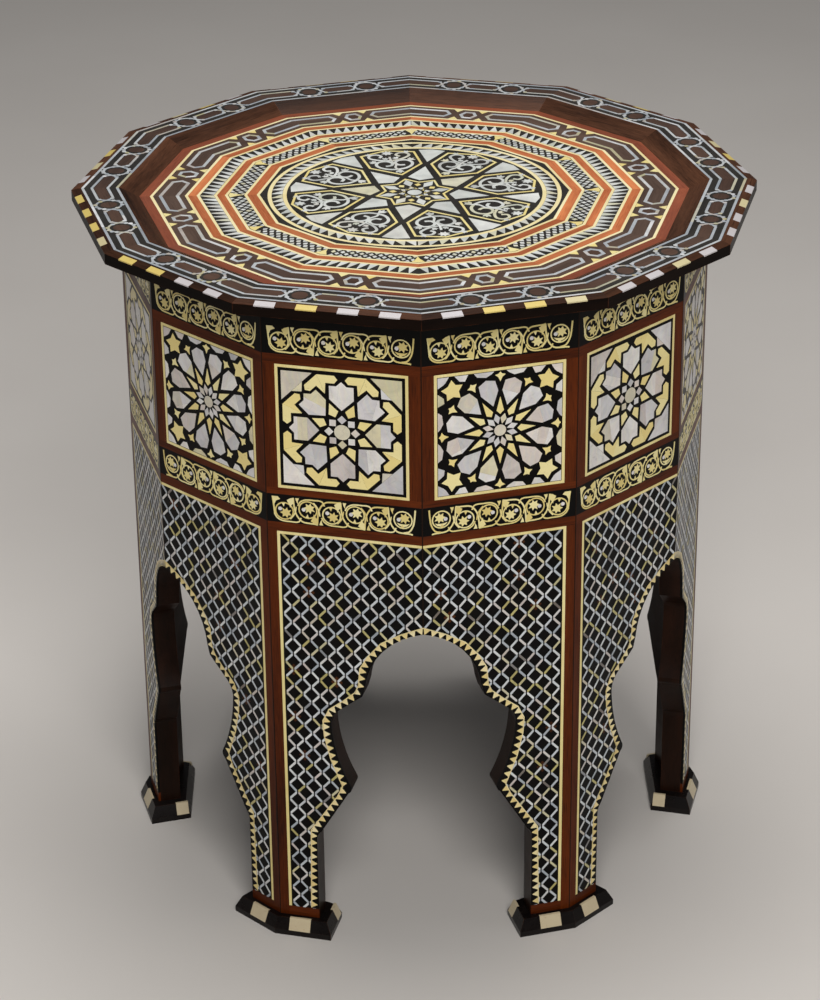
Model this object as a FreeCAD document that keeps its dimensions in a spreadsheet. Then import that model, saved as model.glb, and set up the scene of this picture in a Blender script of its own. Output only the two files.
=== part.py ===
"""Twelve-sided inlaid side table: a tray top on a drum of mitred boards with six keel arches.

Millimetres, +Z up, origin on the floor under the middle of the table. Every piece of one side is drawn
in a frame whose -Y points out of that side, and copies are turned about Z. A leg stands at every second
corner, so the sides come in two hands: the arch is at the left of one and at the right of the next.
"""
import FreeCAD, Part
import math
import os

import Sketcher

SIDES = 12
LEGS = 6
SIDE_ANGLE = 360.0 / SIDES
HALF_ANGLE = math.radians(SIDE_ANGLE / 2)
COS = math.cos(HALF_ANGLE)
SIN = math.sin(HALF_ANGLE)
TAN = math.tan(HALF_ANGLE)
RIM_BLOCKS_PER_SIDE = 4
SCREWS_PER_CLEAT = 2

# Driving sizes: name, millimetres, what it is
SIZES = (
    ("body_radius", 246.0, "middle to a corner of the finished sides"),
    ("board_thickness", 18.0, "side boards"),
    ("skin_thickness", 2.0, "inlaid skin on the outside of the boards"),
    ("board_length", 567.5, "side boards, from the feet to the rim"),
    ("leg_width", 34.3, "one side of a leg"),
    ("crown_margin", 77.4, "lattice left above the crown of an arch"),
    ("foot_height", 15.0, "feet"),
    ("foot_edge", 5.0, "upright edge below the bevel"),
    ("foot_bevel", 4.5, "width of the bevel in plan"),
    ("foot_overhang", 9.5, "feet beyond the finished sides"),
    ("foot_end_overhang", 12.4, "feet beyond the side of the leg"),
    ("foot_inner_overhang", 9.5, "feet inside the boards"),
    ("foot_block_length", 18.5, "bone block in a wing of the foot"),
    ("foot_block_place", 19.0, "block's middle from the leg's corner"),
    ("foot_end_block_length", 11.0, "bone block in an end of the foot"),
    ("foot_end_block_margin", 1.5, "from that block to the foot's inner corner"),
    ("block_depth", 2.0, "thickness of the bone blocks"),
    ("dowel_radius", 4.0, "foot dowels"),
    ("dowel_length", 30.0, "foot dowels"),
    ("dowel_in_foot", 10.0, "depth of a dowel in the foot"),
    ("dowel_clearance", 0.1, "round a dowel"),
    ("dowel_end_gap", 1.0, "glue room at the ends of a dowel"),
    ("rim_overhang", 37.2, "rim beyond the finished sides"),
    ("rim_thickness", 10.5, "rim segments"),
    ("rim_bevel_width", 5.5, "bevelled outer edge in plan"),
    ("rim_bevel_drop", 1.6, "fall of the bevelled edge"),
    ("rim_strip_width", 2.2, "bare wood between the bevel and the veneer"),
    ("rim_inset", 2.4, "inner edge of the flat, inside the finished sides"),
    ("rim_lip", 1.5, "bare wood between the veneer and the slope"),
    ("rim_slope_width", 14.6, "inner slope in plan"),
    ("rim_veneer_thickness", 1.5, "veneer on the flat of the rim"),
    ("rim_block_length", 16.3, "blocks in the bevelled edge, and their gaps"),
    ("rim_block_depth", 1.0, "thickness of those blocks"),
    ("field_thickness", 2.5, "inlaid field of the top"),
    ("top_panel_thickness", 18.0, "panel under the field"),
    ("panel_clearance", 0.3, "between the top panel and the boards"),
    ("margin_width", 8.4, "red-brown margin of the field"),
    ("string_width", 2.4, "pale stringing"),
    ("outer_band_width", 25.6, "hexagon band of the field"),
    ("outer_red_width", 7.1, "outer red strip"),
    ("tooth_band_width", 11.4, "sawtooth band"),
    ("middle_red_width", 6.4, "middle red strip"),
    ("mosaic_band_width", 13.0, "mosaic band"),
    ("inner_red_width", 7.7, "inner red strip"),
    ("ring_string_width", 3.3, "pale rings round the rosette"),
    ("tooth_ring_width", 9.2, "sawtooth ring"),
    ("border_margin", 2.2, "least width of the black border"),
    ("upper_frieze_height", 46.5, "upper frieze with its plain margin"),
    ("top_rail_height", 8.5, "red-brown rail above a star panel"),
    ("stile_width", 10.2, "red-brown stiles beside a star panel, which is square"),
    ("middle_rail_height", 5.8, "rail below a star panel"),
    ("lower_frieze_height", 24.9, "lower frieze"),
    ("low_rail_height", 8.0, "rail above the lattice"),
    ("post_width", 8.0, "red-brown post on each side of a leg corner"),
    ("leg_strip_height", 9.0, "red-brown strip at the foot of a leg"),
    ("cleat_height", 20.0, "cleats under the top panel"),
    ("cleat_depth", 20.0, "cleats under the top panel"),
    ("cleat_gap", 1.0, "between a cleat and a corner block"),
    ("corner_block_reach", 24.0, "corner block along each board"),
    ("corner_block_depth", 8.0, "corner block beyond the boards' corner"),
    ("corner_block_length", 120.0, "corner blocks"),
    ("screw_radius", 2.0, "cleat screws"),
    ("screw_head_radius", 4.0, "cleat screws"),
    ("screw_head_height", 2.5, "cleat screws"),
    ("screw_length", 30.0, "cleat screws"),
    ("screw_spacing", 36.0, "between the two screws of a cleat"),
)

# Corners of half an arch, from its crown down: shares of its half width and of its height
ARCH_CORNER_SHARES = (
    (0.0, 1.0),
    (0.527, 0.808),
    (0.5535, 0.777),
    (0.752, 0.7265),
    (0.8416, 0.6725),
    (0.673, 0.4704),
    (0.6965, 0.4477),
    (0.957, 0.3049),
    (1.0, 0.2753),
)

# Arcs between those corners: number of the stretch, radius as a share of the half width, side it bulges to
ARCH_ARC_SHARES = (
    (0, 0.68, 1),
    (3, 0.1935, 1),
    (4, 1.505, 1),
    (5, 0.0537, -1),
    (7, 0.129, 1),
)

doc = FreeCAD.newDocument("inlaid_table")
sheet = doc.addObject("Spreadsheet::Sheet", "sizes")


class Term:
    """A length and the sheet formula that gives it, kept side by side."""

    def __init__(self, value, formula):
        self.value = value
        self.formula = formula

    def __add__(self, other):
        return Term(self.value + other.value, f"({self.formula} + {other.formula})")

    def __sub__(self, other):
        return Term(self.value - other.value, f"({self.formula} - {other.formula})")

    def __mul__(self, share):
        return Term(self.value * share, f"({self.formula} * {share!r})")

    def __neg__(self):
        return self * -1


ZERO = Term(0.0, "0")


class Sizes:
    """Each named size as a Term."""


def fill_sheet():
    """Writes the driving sizes into the sheet and returns them as Terms."""
    sizes = Sizes()
    for row, (name, value, note) in enumerate(SIZES, start=1):
        sheet.set(f"A{row}", note)
        sheet.set(f"B{row}", str(value))
        sheet.setAlias(f"B{row}", name)
        setattr(sizes, name, Term(value, f"sizes.{name}"))
    doc.recompute()
    return sizes


size = fill_sheet()

# Planes of a side, as distances from the table's axis
face = size.body_radius * COS
board_face = face - size.skin_thickness
board_back = board_face - size.board_thickness
half_side = face * TAN
side_width = half_side * 2

# Levels above the floor
board_low = size.foot_height
board_top = board_low + size.board_length
rim_top = board_top + size.rim_thickness
field_top = board_top + size.field_thickness
panel_low = board_top - size.top_panel_thickness

# Bands of the sides, from the rim down
star_size = side_width - size.stile_width * 2
upper_frieze_low = board_top - size.upper_frieze_height
star_top = upper_frieze_low - size.top_rail_height
star_low = star_top - star_size
lower_frieze_top = star_low - size.middle_rail_height
lower_frieze_low = lower_frieze_top - size.lower_frieze_height
level_string_top = lower_frieze_low - size.low_rail_height
lattice_top = level_string_top - size.string_width
lattice_low = board_low + size.leg_strip_height

# Arch, as half its width along a side and its height above the feet
arch_half_width = side_width - size.leg_width
arch_height = lattice_top - size.crown_margin - board_low

# Rim and field, as distances from the table's axis
rim_outer = face + size.rim_overhang
rim_flat_outer = rim_outer - size.rim_bevel_width
rim_veneer_outer = rim_flat_outer - size.rim_strip_width
rim_flat_inner = face - size.rim_inset
rim_veneer_inner = rim_flat_inner + size.rim_lip
field_edge = rim_flat_inner - size.rim_slope_width


def add_line(sketch, start, end):
    """Adds a line to a sketch and returns which of its ends is the start."""
    sketch.addGeometry(Part.LineSegment(vector(start), vector(end)))
    return 1


def add_arc(sketch, start, end, radius, bulge):
    """Adds an arc that bulges to the left (1) or right (-1) of its way, and returns its start's end."""
    a = vector(start)
    b = vector(end)
    chord = b.sub(a)
    half = chord.Length / 2
    depth = math.sqrt(radius.value ** 2 - half ** 2)
    left = FreeCAD.Vector(-chord.y, chord.x, 0).normalize()
    centre = a.add(b).multiply(0.5).sub(left.multiply(depth * bulge))
    first, last = (b, a) if bulge == 1 else (a, b)
    angles = [math.atan2(point.y - centre.y, point.x - centre.x) for point in (first, last)]
    if angles[1] < angles[0]:
        angles[1] += 2 * math.pi
    round_edge = Part.Circle(centre, FreeCAD.Vector(0, 0, 1), radius.value)
    index = sketch.addGeometry(Part.ArcOfCircle(round_edge, *angles))
    sketch.addConstraint(Sketcher.Constraint("Radius", index, radius.value))
    sketch.setExpression(f"Constraints[{sketch.ConstraintCount - 1}]", radius.formula)
    return 2 if bulge == 1 else 1


def vector(point):
    """A pair of Terms as a vector in the sketch's plane."""
    return FreeCAD.Vector(point[0].value, point[1].value, 0)


def hold(sketch, index, end, point):
    """Ties one end of a line or arc to its place."""
    for kind, term in (("DistanceX", point[0]), ("DistanceY", point[1])):
        sketch.addConstraint(Sketcher.Constraint(kind, -1, 1, index, end, term.value))
        sketch.setExpression(f"Constraints[{sketch.ConstraintCount - 1}]", term.formula)


def outline(sketch, points, arcs=None):
    """Draws a closed outline; arcs maps the number of a stretch to its radius and the side it bulges to."""
    arcs = arcs or {}
    first = sketch.GeometryCount
    starts = []
    for number, start in enumerate(points):
        end = points[(number + 1) % len(points)]
        if number in arcs:
            radius, bulge = arcs[number]
            starts.append(add_arc(sketch, start, end, radius, bulge))
        else:
            starts.append(add_line(sketch, start, end))
    for number, start in enumerate(points):
        index = first + number
        following = first + (number + 1) % len(points)
        following_start = starts[(number + 1) % len(points)]
        finish = 3 - starts[number]
        sketch.addConstraint(Sketcher.Constraint("Coincident", index, finish, following, following_start))
        hold(sketch, index, starts[number], start)


def circle(sketch, radius):
    """Draws a circle about the sketch's origin."""
    index = sketch.addGeometry(Part.Circle(FreeCAD.Vector(0, 0, 0), FreeCAD.Vector(0, 0, 1), radius.value))
    sketch.addConstraint(Sketcher.Constraint("Coincident", index, 3, -1, 1))
    sketch.addConstraint(Sketcher.Constraint("Radius", index, radius.value))
    sketch.setExpression(f"Constraints[{sketch.ConstraintCount - 1}]", radius.formula)


def new_body(name):
    """An empty PartDesign body."""
    return doc.addObject("PartDesign::Body", name)


def new_sketch(body, role, offset=ZERO):
    """A sketch on one of the body's own origin planes, moved along its normal."""
    sketch = body.newObject("Sketcher::SketchObject", f"{body.Name}_sketch")
    plane = [item for item in body.Origin.OriginFeatures if item.Role == role][0]
    sketch.AttachmentSupport = [(plane, "")]
    sketch.MapMode = "FlatFace"
    sketch.setExpression("AttachmentOffset.Base.z", offset.formula)
    return sketch


def pad(body, sketch, length, backwards=False, midplane=False):
    """Pads a sketch."""
    feature = body.newObject("PartDesign::Pad", f"{body.Name}_pad")
    feature.Profile = sketch
    feature.Reversed = backwards
    feature.Midplane = midplane
    feature.setExpression("Length", length.formula)
    sketch.Visibility = False
    return feature


def mitre(body, near, far):
    """Cuts a side piece back to the planes in which it meets its neighbours."""
    sketch = new_sketch(body, "XY_Plane")
    width = far * (2 * TAN)
    for hand in (1, -1):
        outline(sketch, [
            (near * (TAN * hand), -near),
            (far * (TAN * hand), -far),
            (width * hand, -far),
            (width * hand, -near),
        ])
    pocket = body.newObject("PartDesign::Pocket", f"{body.Name}_mitre")
    pocket.Profile = sketch
    pocket.Type = 1
    pocket.Reversed = True
    sketch.Visibility = False


def square_end(place):
    """A strip's end that is square to the side: the same place on both faces of the strip."""
    return lambda distance: place


def mitred_end(hand):
    """A strip's end in the plane where two sides meet."""
    return lambda distance: distance * (TAN * hand)


def strip(name, left, right, outer, inner, low, high):
    """A flat piece of one side between two distances from the axis and two levels."""
    body = new_body(name)
    sketch = new_sketch(body, "XY_Plane", low)
    outline(sketch, [
        (left(outer), -outer),
        (right(outer), -outer),
        (right(inner), -inner),
        (left(inner), -inner),
    ])
    pad(body, sketch, high - low)
    return body


def handed_strip(name, near, far, low, high, hand, far_mitred=False):
    """A strip of the skin from near to far, measured from the arch's corner of the side."""
    near_end = square_end((near - half_side) * hand)
    far_end = mitred_end(hand) if far_mitred else square_end((far - half_side) * hand)
    ends = (near_end, far_end) if hand == 1 else (far_end, near_end)
    return strip(name, ends[0], ends[1], face, board_face, low, high)


def copy(source, name, turn):
    """A copy of a piece, turned about the table's axis by so many degrees."""
    link = doc.addObject("App::Link", name)
    link.LinkedObject = source
    about_axis = FreeCAD.Rotation(FreeCAD.Vector(0, 0, 1), turn)
    link.Placement = FreeCAD.Placement(FreeCAD.Vector(0, 0, 0), about_axis)
    return link


def placed(source, name, x, y, turn):
    """A copy of a piece, turned by so many degrees and moved in plan."""
    link = copy(source, name, turn)
    link.setExpression("Placement.Base.x", x.formula)
    link.setExpression("Placement.Base.y", y.formula)
    return link


def group(name, links):
    """Separate solids kept together as one piece of the list."""
    compound = doc.addObject("Part::Compound", name)
    compound.Links = links
    return compound


def side_turn(number):
    """Turn of side 0 to 11; side 0 has the front arch's corner at its left."""
    return SIDE_ANGLE * (number + 0.5)


def around(name, sources, count=SIDES, first=SIDE_ANGLE / 2):
    """Copies a list of pieces to every side, or every second side, and groups them."""
    links = []
    for number in range(count):
        turn = first + 360.0 / count * number
        for part_number, source in enumerate(sources):
            links.append(copy(source, f"{name}_{number}_{part_number}", turn))
    return group(name, links)


def around_by_hand(name, left_sources, right_sources):
    """Groups pieces whose arch is at the left on even sides and at the right on odd sides."""
    links = []
    for number in range(SIDES):
        sources = right_sources if number % 2 else left_sources
        for part_number, source in enumerate(sources):
            links.append(copy(source, f"{name}_{number}_{part_number}", side_turn(number)))
    return group(name, links)


def cut(base, tool, name):
    """One piece with another taken out of it."""
    result = doc.addObject("Part::Cut", name)
    result.Base = base
    result.Tool = tool
    return result


def arch_points(hand):
    """The half arch from its crown to the top of the leg's straight, and its arcs."""
    points = []
    for width_share, height_share in ARCH_CORNER_SHARES:
        along = arch_half_width * width_share - half_side
        points.append((along * hand, board_low + arch_height * height_share))
    arcs = {number: (arch_half_width * share, bulge * hand) for number, share, bulge in ARCH_ARC_SHARES}
    return points, arcs


def arched_panel(name, hand, outer, thickness, low, far, high):
    """A slab of one side with half an arch sawn out, from the level low to the level high."""
    body = new_body(name)
    points, arcs = arch_points(hand)
    points += [
        ((arch_half_width - half_side) * hand, low),
        ((far - half_side) * hand, low),
        ((far - half_side) * hand, high),
        (-half_side * hand, high),
    ]
    sketch = new_sketch(body, "XZ_Plane", outer)
    outline(sketch, points, arcs)
    pad(body, sketch, thickness, backwards=True)
    mitre(body, outer - thickness - size.board_thickness, outer + thickness)
    return body


def make_dowels():
    """The dowel, its hole, and where both stand in a leg at the front corner of side 0's frame."""
    low = size.foot_height - size.dowel_in_foot
    dowel = new_body("dowel_pattern")
    sketch = new_sketch(dowel, "XY_Plane", low)
    circle(sketch, size.dowel_radius)
    pad(dowel, sketch, size.dowel_length)
    hole = new_body("dowel_hole_pattern")
    sketch = new_sketch(hole, "XY_Plane", low - size.dowel_end_gap)
    circle(sketch, size.dowel_radius + size.dowel_clearance)
    pad(hole, sketch, size.dowel_length + size.dowel_end_gap * 2)
    return dowel, hole


def dowel_place(hand):
    """Where the dowel of a leg stands in the frame of its side."""
    return (half_side - size.leg_width * 0.5) * hand, -(board_face - size.board_thickness * 0.5)


def make_side_boards(hole):
    """Twelve boards, six of each hand, drilled for the dowels."""
    boards = {}
    for hand, word in ((1, "left"), (-1, "right")):
        blank = arched_panel(f"board_{word}_pattern", hand, board_face, size.board_thickness,
                             board_low, side_width, board_top)
        x, y = dowel_place(hand)
        drill = placed(hole, f"board_{word}_hole", x, y, 0)
        boards[hand] = cut(blank, drill, f"drilled_board_{word}_pattern")
    return [copy(boards[-1 if number % 2 else 1], f"side_board_{number + 1:02d}", side_turn(number))
            for number in range(SIDES)]


def turned(x, y, degrees):
    """A point of a side's frame in the frame of the corner, degrees away."""
    c = math.cos(math.radians(degrees))
    s = math.sin(math.radians(degrees))
    return x * c - y * s, x * s + y * c


def foot_outline(shrink):
    """Plan of a foot in the frame of its corner, each edge moved in by shrink."""
    outer = face + size.foot_overhang - shrink
    end = size.leg_width + size.foot_end_overhang - shrink - half_side
    back_of_leg = board_back * COS + (half_side - size.leg_width) * SIN
    inner = back_of_leg - size.foot_inner_overhang + shrink
    corner = (ZERO, -(outer * (1 / COS)))
    outer_end = (outer * SIN + end * COS, end * SIN - outer * COS)
    reach = (inner + end * SIN) * (1 / COS)
    inner_end = (reach * SIN + end * COS, -inner)
    return [
        corner,
        outer_end,
        inner_end,
        (-inner_end[0], inner_end[1]),
        (-outer_end[0], outer_end[1]),
    ]


def foot_block(name, length):
    """A bone block for the foot's bevel, with the foot's outer edge at y = 0 and out towards -Y."""
    body = new_body(name)
    sketch = new_sketch(body, "YZ_Plane")
    outline(sketch, [
        (ZERO, size.foot_edge),
        (size.block_depth, size.foot_edge),
        (size.block_depth + size.foot_bevel, size.foot_height),
        (size.foot_bevel, size.foot_height),
    ])
    pad(body, sketch, length, midplane=True)
    return body


def make_feet(dowel, hole):
    """Six feet with their bone blocks and dowels."""
    body = new_body("foot_pattern")
    base = new_sketch(body, "XY_Plane")
    outline(base, foot_outline(ZERO))
    pad(body, base, size.foot_edge)
    lower = new_sketch(body, "XY_Plane", size.foot_edge)
    outline(lower, foot_outline(ZERO))
    upper = new_sketch(body, "XY_Plane", size.foot_height)
    outline(upper, foot_outline(size.foot_bevel))
    loft = body.newObject("PartDesign::AdditiveLoft", "foot_bevel_loft")
    loft.Profile = lower
    loft.Sections = [upper]
    loft.Ruled = True

    wing_block = foot_block("foot_wing_block_pattern", size.foot_block_length)
    end_block = foot_block("foot_end_block_pattern", size.foot_end_block_length)
    outer = face + size.foot_overhang
    end = size.leg_width + size.foot_end_overhang - half_side
    inner_corner = foot_outline(ZERO)[2]
    inner_reach = inner_corner[0] * SIN - inner_corner[1] * COS
    end_place = inner_reach + size.foot_end_block_margin + size.foot_end_block_length * 0.5
    blocks = []
    dowels = []
    holes = []
    for hand in (1, -1):
        degrees = SIDE_ANGLE / 2 * hand
        x, y = turned((size.foot_block_place - half_side) * hand, -outer, degrees)
        blocks.append(placed(wing_block, "foot_wing_block", x, y, degrees))
        x, y = turned(end * hand, -end_place, degrees)
        blocks.append(placed(end_block, "foot_end_block", x, y, degrees + 90 * hand))
        x, y = dowel_place(-hand)
        x, y = turned(x, y, degrees)
        dowels.append(placed(dowel, "foot_dowel", x, y, 0))
        holes.append(placed(hole, "foot_dowel_hole", x, y, 0))
    block_set = group("foot_block_set", blocks)
    dowel_set = group("foot_dowel_set", dowels)
    foot = cut(body, group("foot_cuts", blocks + holes), "finished_foot_pattern")
    step = 360.0 / LEGS
    feet = [copy(foot, f"foot_{number + 1}", SIDE_ANGLE + step * number) for number in range(LEGS)]
    bone = around("foot_bone_blocks", [block_set], LEGS, SIDE_ANGLE)
    pins = around("foot_dowels", [dowel_set], LEGS, SIDE_ANGLE)
    return feet + [bone, pins]


def make_rim():
    """Twelve mitred rim segments, the blocks in their bevelled edge and the veneers on their flat."""
    body = new_body("rim_pattern")
    sketch = new_sketch(body, "YZ_Plane")
    bed = rim_top - size.rim_veneer_thickness
    outline(sketch, [
        (-rim_outer, board_top),
        (-field_edge, board_top),
        (-field_edge, field_top),
        (-rim_flat_inner, rim_top),
        (-rim_veneer_inner, rim_top),
        (-rim_veneer_inner, bed),
        (-rim_veneer_outer, bed),
        (-rim_veneer_outer, rim_top),
        (-rim_flat_outer, rim_top),
        (-rim_outer, rim_top - size.rim_bevel_drop),
    ])
    pad(body, sketch, rim_outer * (2 * TAN), midplane=True)
    mitre(body, field_edge - size.rim_slope_width, rim_outer + size.rim_bevel_width)

    block = new_body("rim_block_pattern")
    sketch = new_sketch(block, "YZ_Plane")
    outline(sketch, [
        (-rim_outer, rim_top - size.rim_bevel_drop - size.rim_block_depth),
        (-rim_flat_outer, rim_top - size.rim_block_depth),
        (-rim_flat_outer, rim_top),
        (-rim_outer, rim_top - size.rim_bevel_drop),
    ])
    pad(block, sketch, size.rim_block_length, midplane=True)
    blocks = []
    for number in range(RIM_BLOCKS_PER_SIDE):
        pitches = number - (RIM_BLOCKS_PER_SIDE - 1) / 2
        blocks.append(placed(block, "rim_block", size.rim_block_length * (2 * pitches), ZERO, 0))
    block_set = group("rim_block_set", blocks)
    segment = cut(body, block_set, "finished_rim_pattern")
    segments = [copy(segment, f"rim_segment_{number + 1:02d}", side_turn(number)) for number in range(SIDES)]

    veneer = strip("rim_veneer_pattern", mitred_end(-1), mitred_end(1),
                   rim_veneer_outer, rim_veneer_inner, bed, rim_top)
    return segments + [around("rim_blocks", [block_set]), around("rim_veneers", [veneer])]


def polygon(distance):
    """The corners of the twelve-sided outline at a distance from the axis."""
    radius = distance * (1 / COS)
    corners = []
    for number in range(SIDES):
        angle = math.radians(SIDE_ANGLE * number)
        corners.append((radius * math.sin(angle), radius * -math.cos(angle)))
    return corners


def ring(name, outer, inner):
    """A round band of the field."""
    body = new_body(name)
    sketch = new_sketch(body, "XY_Plane", board_top)
    circle(sketch, outer)
    if inner:
        circle(sketch, inner)
    pad(body, sketch, size.field_thickness)
    return body


def make_field():
    """The inlaid field of the top, from the rim's slope to the rosette."""
    bands = (
        ("margin", size.margin_width),
        ("string", size.string_width),
        ("outer_band", size.outer_band_width),
        ("string", size.string_width),
        ("red", size.outer_red_width),
        ("string", size.string_width),
        ("tooth_band", size.tooth_band_width),
        ("string", size.string_width),
        ("red", size.middle_red_width),
        ("string", size.string_width),
        ("mosaic_band", size.mosaic_band_width),
        ("string", size.string_width),
        ("red", size.inner_red_width),
        ("string", size.string_width),
    )
    pieces = {}
    outer = field_edge
    for number, (kind, width) in enumerate(bands):
        inner = outer - width
        piece = strip(f"field_{kind}_{number}", mitred_end(-1), mitred_end(1), outer, inner,
                      board_top, field_top)
        pieces.setdefault(kind, []).append(piece)
        outer = inner

    border = new_body("rosette_border")
    sketch = new_sketch(border, "XY_Plane", board_top)
    outline(sketch, polygon(outer))
    ring_outer = outer - size.border_margin
    circle(sketch, ring_outer)
    pad(border, sketch, size.field_thickness)

    tooth_outer = ring_outer - size.ring_string_width
    tooth_inner = tooth_outer - size.tooth_ring_width
    rosette = tooth_inner - size.ring_string_width
    rings = group("rosette_rings", [
        ring("rosette_ring_outer", ring_outer, tooth_outer),
        ring("rosette_ring_inner", tooth_inner, rosette),
    ])
    return [
        around("field_margin_strips", pieces["margin"]),
        around("field_stringing", pieces["string"]),
        around("field_red_strips", pieces["red"]),
        around("outer_band_veneers", pieces["outer_band"]),
        around("sawtooth_band_veneers", pieces["tooth_band"]),
        around("mosaic_band_veneers", pieces["mosaic_band"]),
        border,
        rings,
        ring("sawtooth_ring", tooth_outer, tooth_inner),
        ring("rosette_disc", rosette, None),
    ]


def make_carcass():
    """The top panel, its cleats with their screws, and the glue blocks in the corners."""
    screw = new_body("screw_pattern")
    sketch = new_sketch(screw, "XZ_Plane")
    low = panel_low - size.cleat_height
    outline(sketch, [
        (ZERO, low),
        (size.screw_head_radius, low),
        (size.screw_radius, low + size.screw_head_height),
        (size.screw_radius, low + size.screw_length),
        (ZERO, low + size.screw_length),
    ])
    turning = screw.newObject("PartDesign::Revolution", "screw_turning")
    turning.Profile = sketch
    turning.ReferenceAxis = (sketch, ["V_Axis"])
    turning.Angle = 360.0
    screws = []
    for number in range(SCREWS_PER_CLEAT):
        share = number / (SCREWS_PER_CLEAT - 1) - 0.5
        screws.append(placed(screw, "cleat_screw", size.screw_spacing * share,
                             -(board_back - size.cleat_depth * 0.5), 0))
    screw_set = group("screw_set", screws)

    block_side = board_back * TAN - size.corner_block_reach - size.corner_block_depth * SIN
    cleat_half = block_side - size.cleat_gap
    cleat = strip("cleat_blank", square_end(-cleat_half), square_end(cleat_half),
                  board_back, board_back - size.cleat_depth, low, panel_low)
    cleat = cut(cleat, screw_set, "drilled_cleat_pattern")

    panel = new_body("panel_blank")
    sketch = new_sketch(panel, "XY_Plane", panel_low)
    outline(sketch, polygon(board_back - size.panel_clearance))
    pad(panel, sketch, size.top_panel_thickness)
    all_screws = around("cleat_screws", [screw_set])

    block = new_body("corner_block_pattern")
    sketch = new_sketch(block, "XY_Plane", panel_low - size.corner_block_length)
    corner = board_back * (1 / COS)
    reach_x = size.corner_block_reach * COS
    reach_y = size.corner_block_reach * SIN - corner
    outline(sketch, [
        (ZERO, -corner),
        (reach_x, reach_y),
        (reach_x, reach_y + size.corner_block_depth),
        (-reach_x, reach_y + size.corner_block_depth),
        (-reach_x, reach_y),
    ])
    pad(block, sketch, size.corner_block_length)
    return [
        cut(panel, all_screws, "top_panel"),
        around("top_cleats", [cleat]),
        all_screws,
        around("corner_blocks", [block], first=0.0),
    ]


def make_skin():
    """The inlaid skin of the sides, from the rim down to the feet."""
    whole = (mitred_end(-1), mitred_end(1), face, board_face)

    upper_frieze = strip("upper_frieze_pattern", *whole, upper_frieze_low, board_top)
    lower_frieze = strip("lower_frieze_pattern", *whole, lower_frieze_low, lower_frieze_top)
    rails = [
        strip("top_rail_pattern", *whole, star_top, upper_frieze_low),
        strip("middle_rail_pattern", *whole, lower_frieze_top, star_low),
        strip("low_rail_pattern", *whole, level_string_top, lower_frieze_low),
    ]
    level = (face, board_face)
    star_half = star_size * 0.5
    opening = star_half - size.string_width
    opening_low = star_low + size.string_width
    opening_top = star_top - size.string_width
    stiles = [
        strip("left_stile_pattern", mitred_end(-1), square_end(-star_half), *level, star_low, star_top),
        strip("right_stile_pattern", square_end(star_half), mitred_end(1), *level, star_low, star_top),
    ]
    across = (square_end(-star_half), square_end(star_half))
    frame = [
        strip("frame_top_pattern", *across, *level, opening_top, star_top),
        strip("frame_bottom_pattern", *across, *level, star_low, opening_low),
        strip("frame_left_pattern", square_end(-star_half), square_end(-opening), *level,
              opening_low, opening_top),
        strip("frame_right_pattern", square_end(opening), square_end(star_half), *level,
              opening_low, opening_top),
    ]
    star_panel = strip("star_panel_pattern", square_end(-opening), square_end(opening), *level,
                       opening_low, opening_top)

    post_near = side_width - size.post_width
    string_near = post_near - size.string_width
    leg_near = side_width - size.leg_width
    handed = {1: {}, -1: {}}
    for hand, word in ((1, "left"), (-1, "right")):
        made = handed[hand]
        made["post"] = handed_strip(f"post_{word}_pattern", post_near, side_width,
                                    board_low, level_string_top, hand, far_mitred=True)
        made["leg"] = handed_strip(f"leg_strip_{word}_pattern", leg_near, post_near, board_low,
                                   lattice_low, hand)
        made["upright"] = handed_strip(f"upright_string_{word}_pattern", string_near, post_near,
                                       lattice_low, level_string_top, hand)
        arch_corner = mitred_end(-hand)
        far_end = square_end((string_near - half_side) * hand)
        ends = (arch_corner, far_end) if hand == 1 else (far_end, arch_corner)
        made["level"] = strip(f"level_string_{word}_pattern", *ends, *level, lattice_top, level_string_top)
        made["lattice"] = arched_panel(f"lattice_{word}_pattern", hand, face, size.skin_thickness,
                                       lattice_low, string_near, lattice_top)

    def both(name, *kinds):
        """Groups the named pieces of both hands."""
        return around_by_hand(name, [handed[1][kind] for kind in kinds], [handed[-1][kind] for kind in kinds])

    step = 360.0 / LEGS
    return [
        around("upper_frieze_panels", [upper_frieze]),
        around("lower_frieze_panels", [lower_frieze]),
        around("red_rails", rails),
        around("panel_stiles", stiles),
        around("panel_stringing", frame),
        around("star_panels_twelvefold", [star_panel], LEGS, SIDE_ANGLE / 2),
        around("star_panels_eightfold", [star_panel], LEGS, SIDE_ANGLE / 2 + step / 2),
        both("leg_posts", "post"),
        both("leg_strips", "leg"),
        both("leg_stringing", "upright", "level"),
        both("lattice_panels", "lattice"),
    ]


def check(nodes):
    """Stops if any object failed, or if a piece has no sound shape."""
    for item in doc.Objects:
        bad = [state for state in item.State if state in ("Invalid", "Error")]
        if bad:
            raise RuntimeError(f"{item.Name}: {bad}")
    for node in nodes:
        shape = node.Shape
        if shape.isNull() or not shape.isValid() or not shape.Solids:
            raise RuntimeError(f"{node.Label} has no sound shape")


def main():
    dowel, hole = make_dowels()
    nodes = make_side_boards(hole)
    nodes += make_feet(dowel, hole)
    nodes += make_rim()
    nodes += make_field()
    nodes += make_carcass()
    nodes += make_skin()
    doc.recompute()
    check(nodes)
    os.makedirs("parts", exist_ok=True)
    for node in nodes:
        node.Shape.exportStep(f"parts/{node.Label}.step")
        box = node.Shape.BoundBox
        print(f"{node.Label}: {len(node.Shape.Solids)} solids, {node.Shape.Volume / 1000:.1f} cm3, "
              f"z {box.ZMin:.1f} to {box.ZMax:.1f}")
    print(f"{len(nodes)} pieces")


main()
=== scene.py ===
"""A twelve-sided inlaid side table: camera, floor, lamps, finishes and inlay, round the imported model."""

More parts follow.
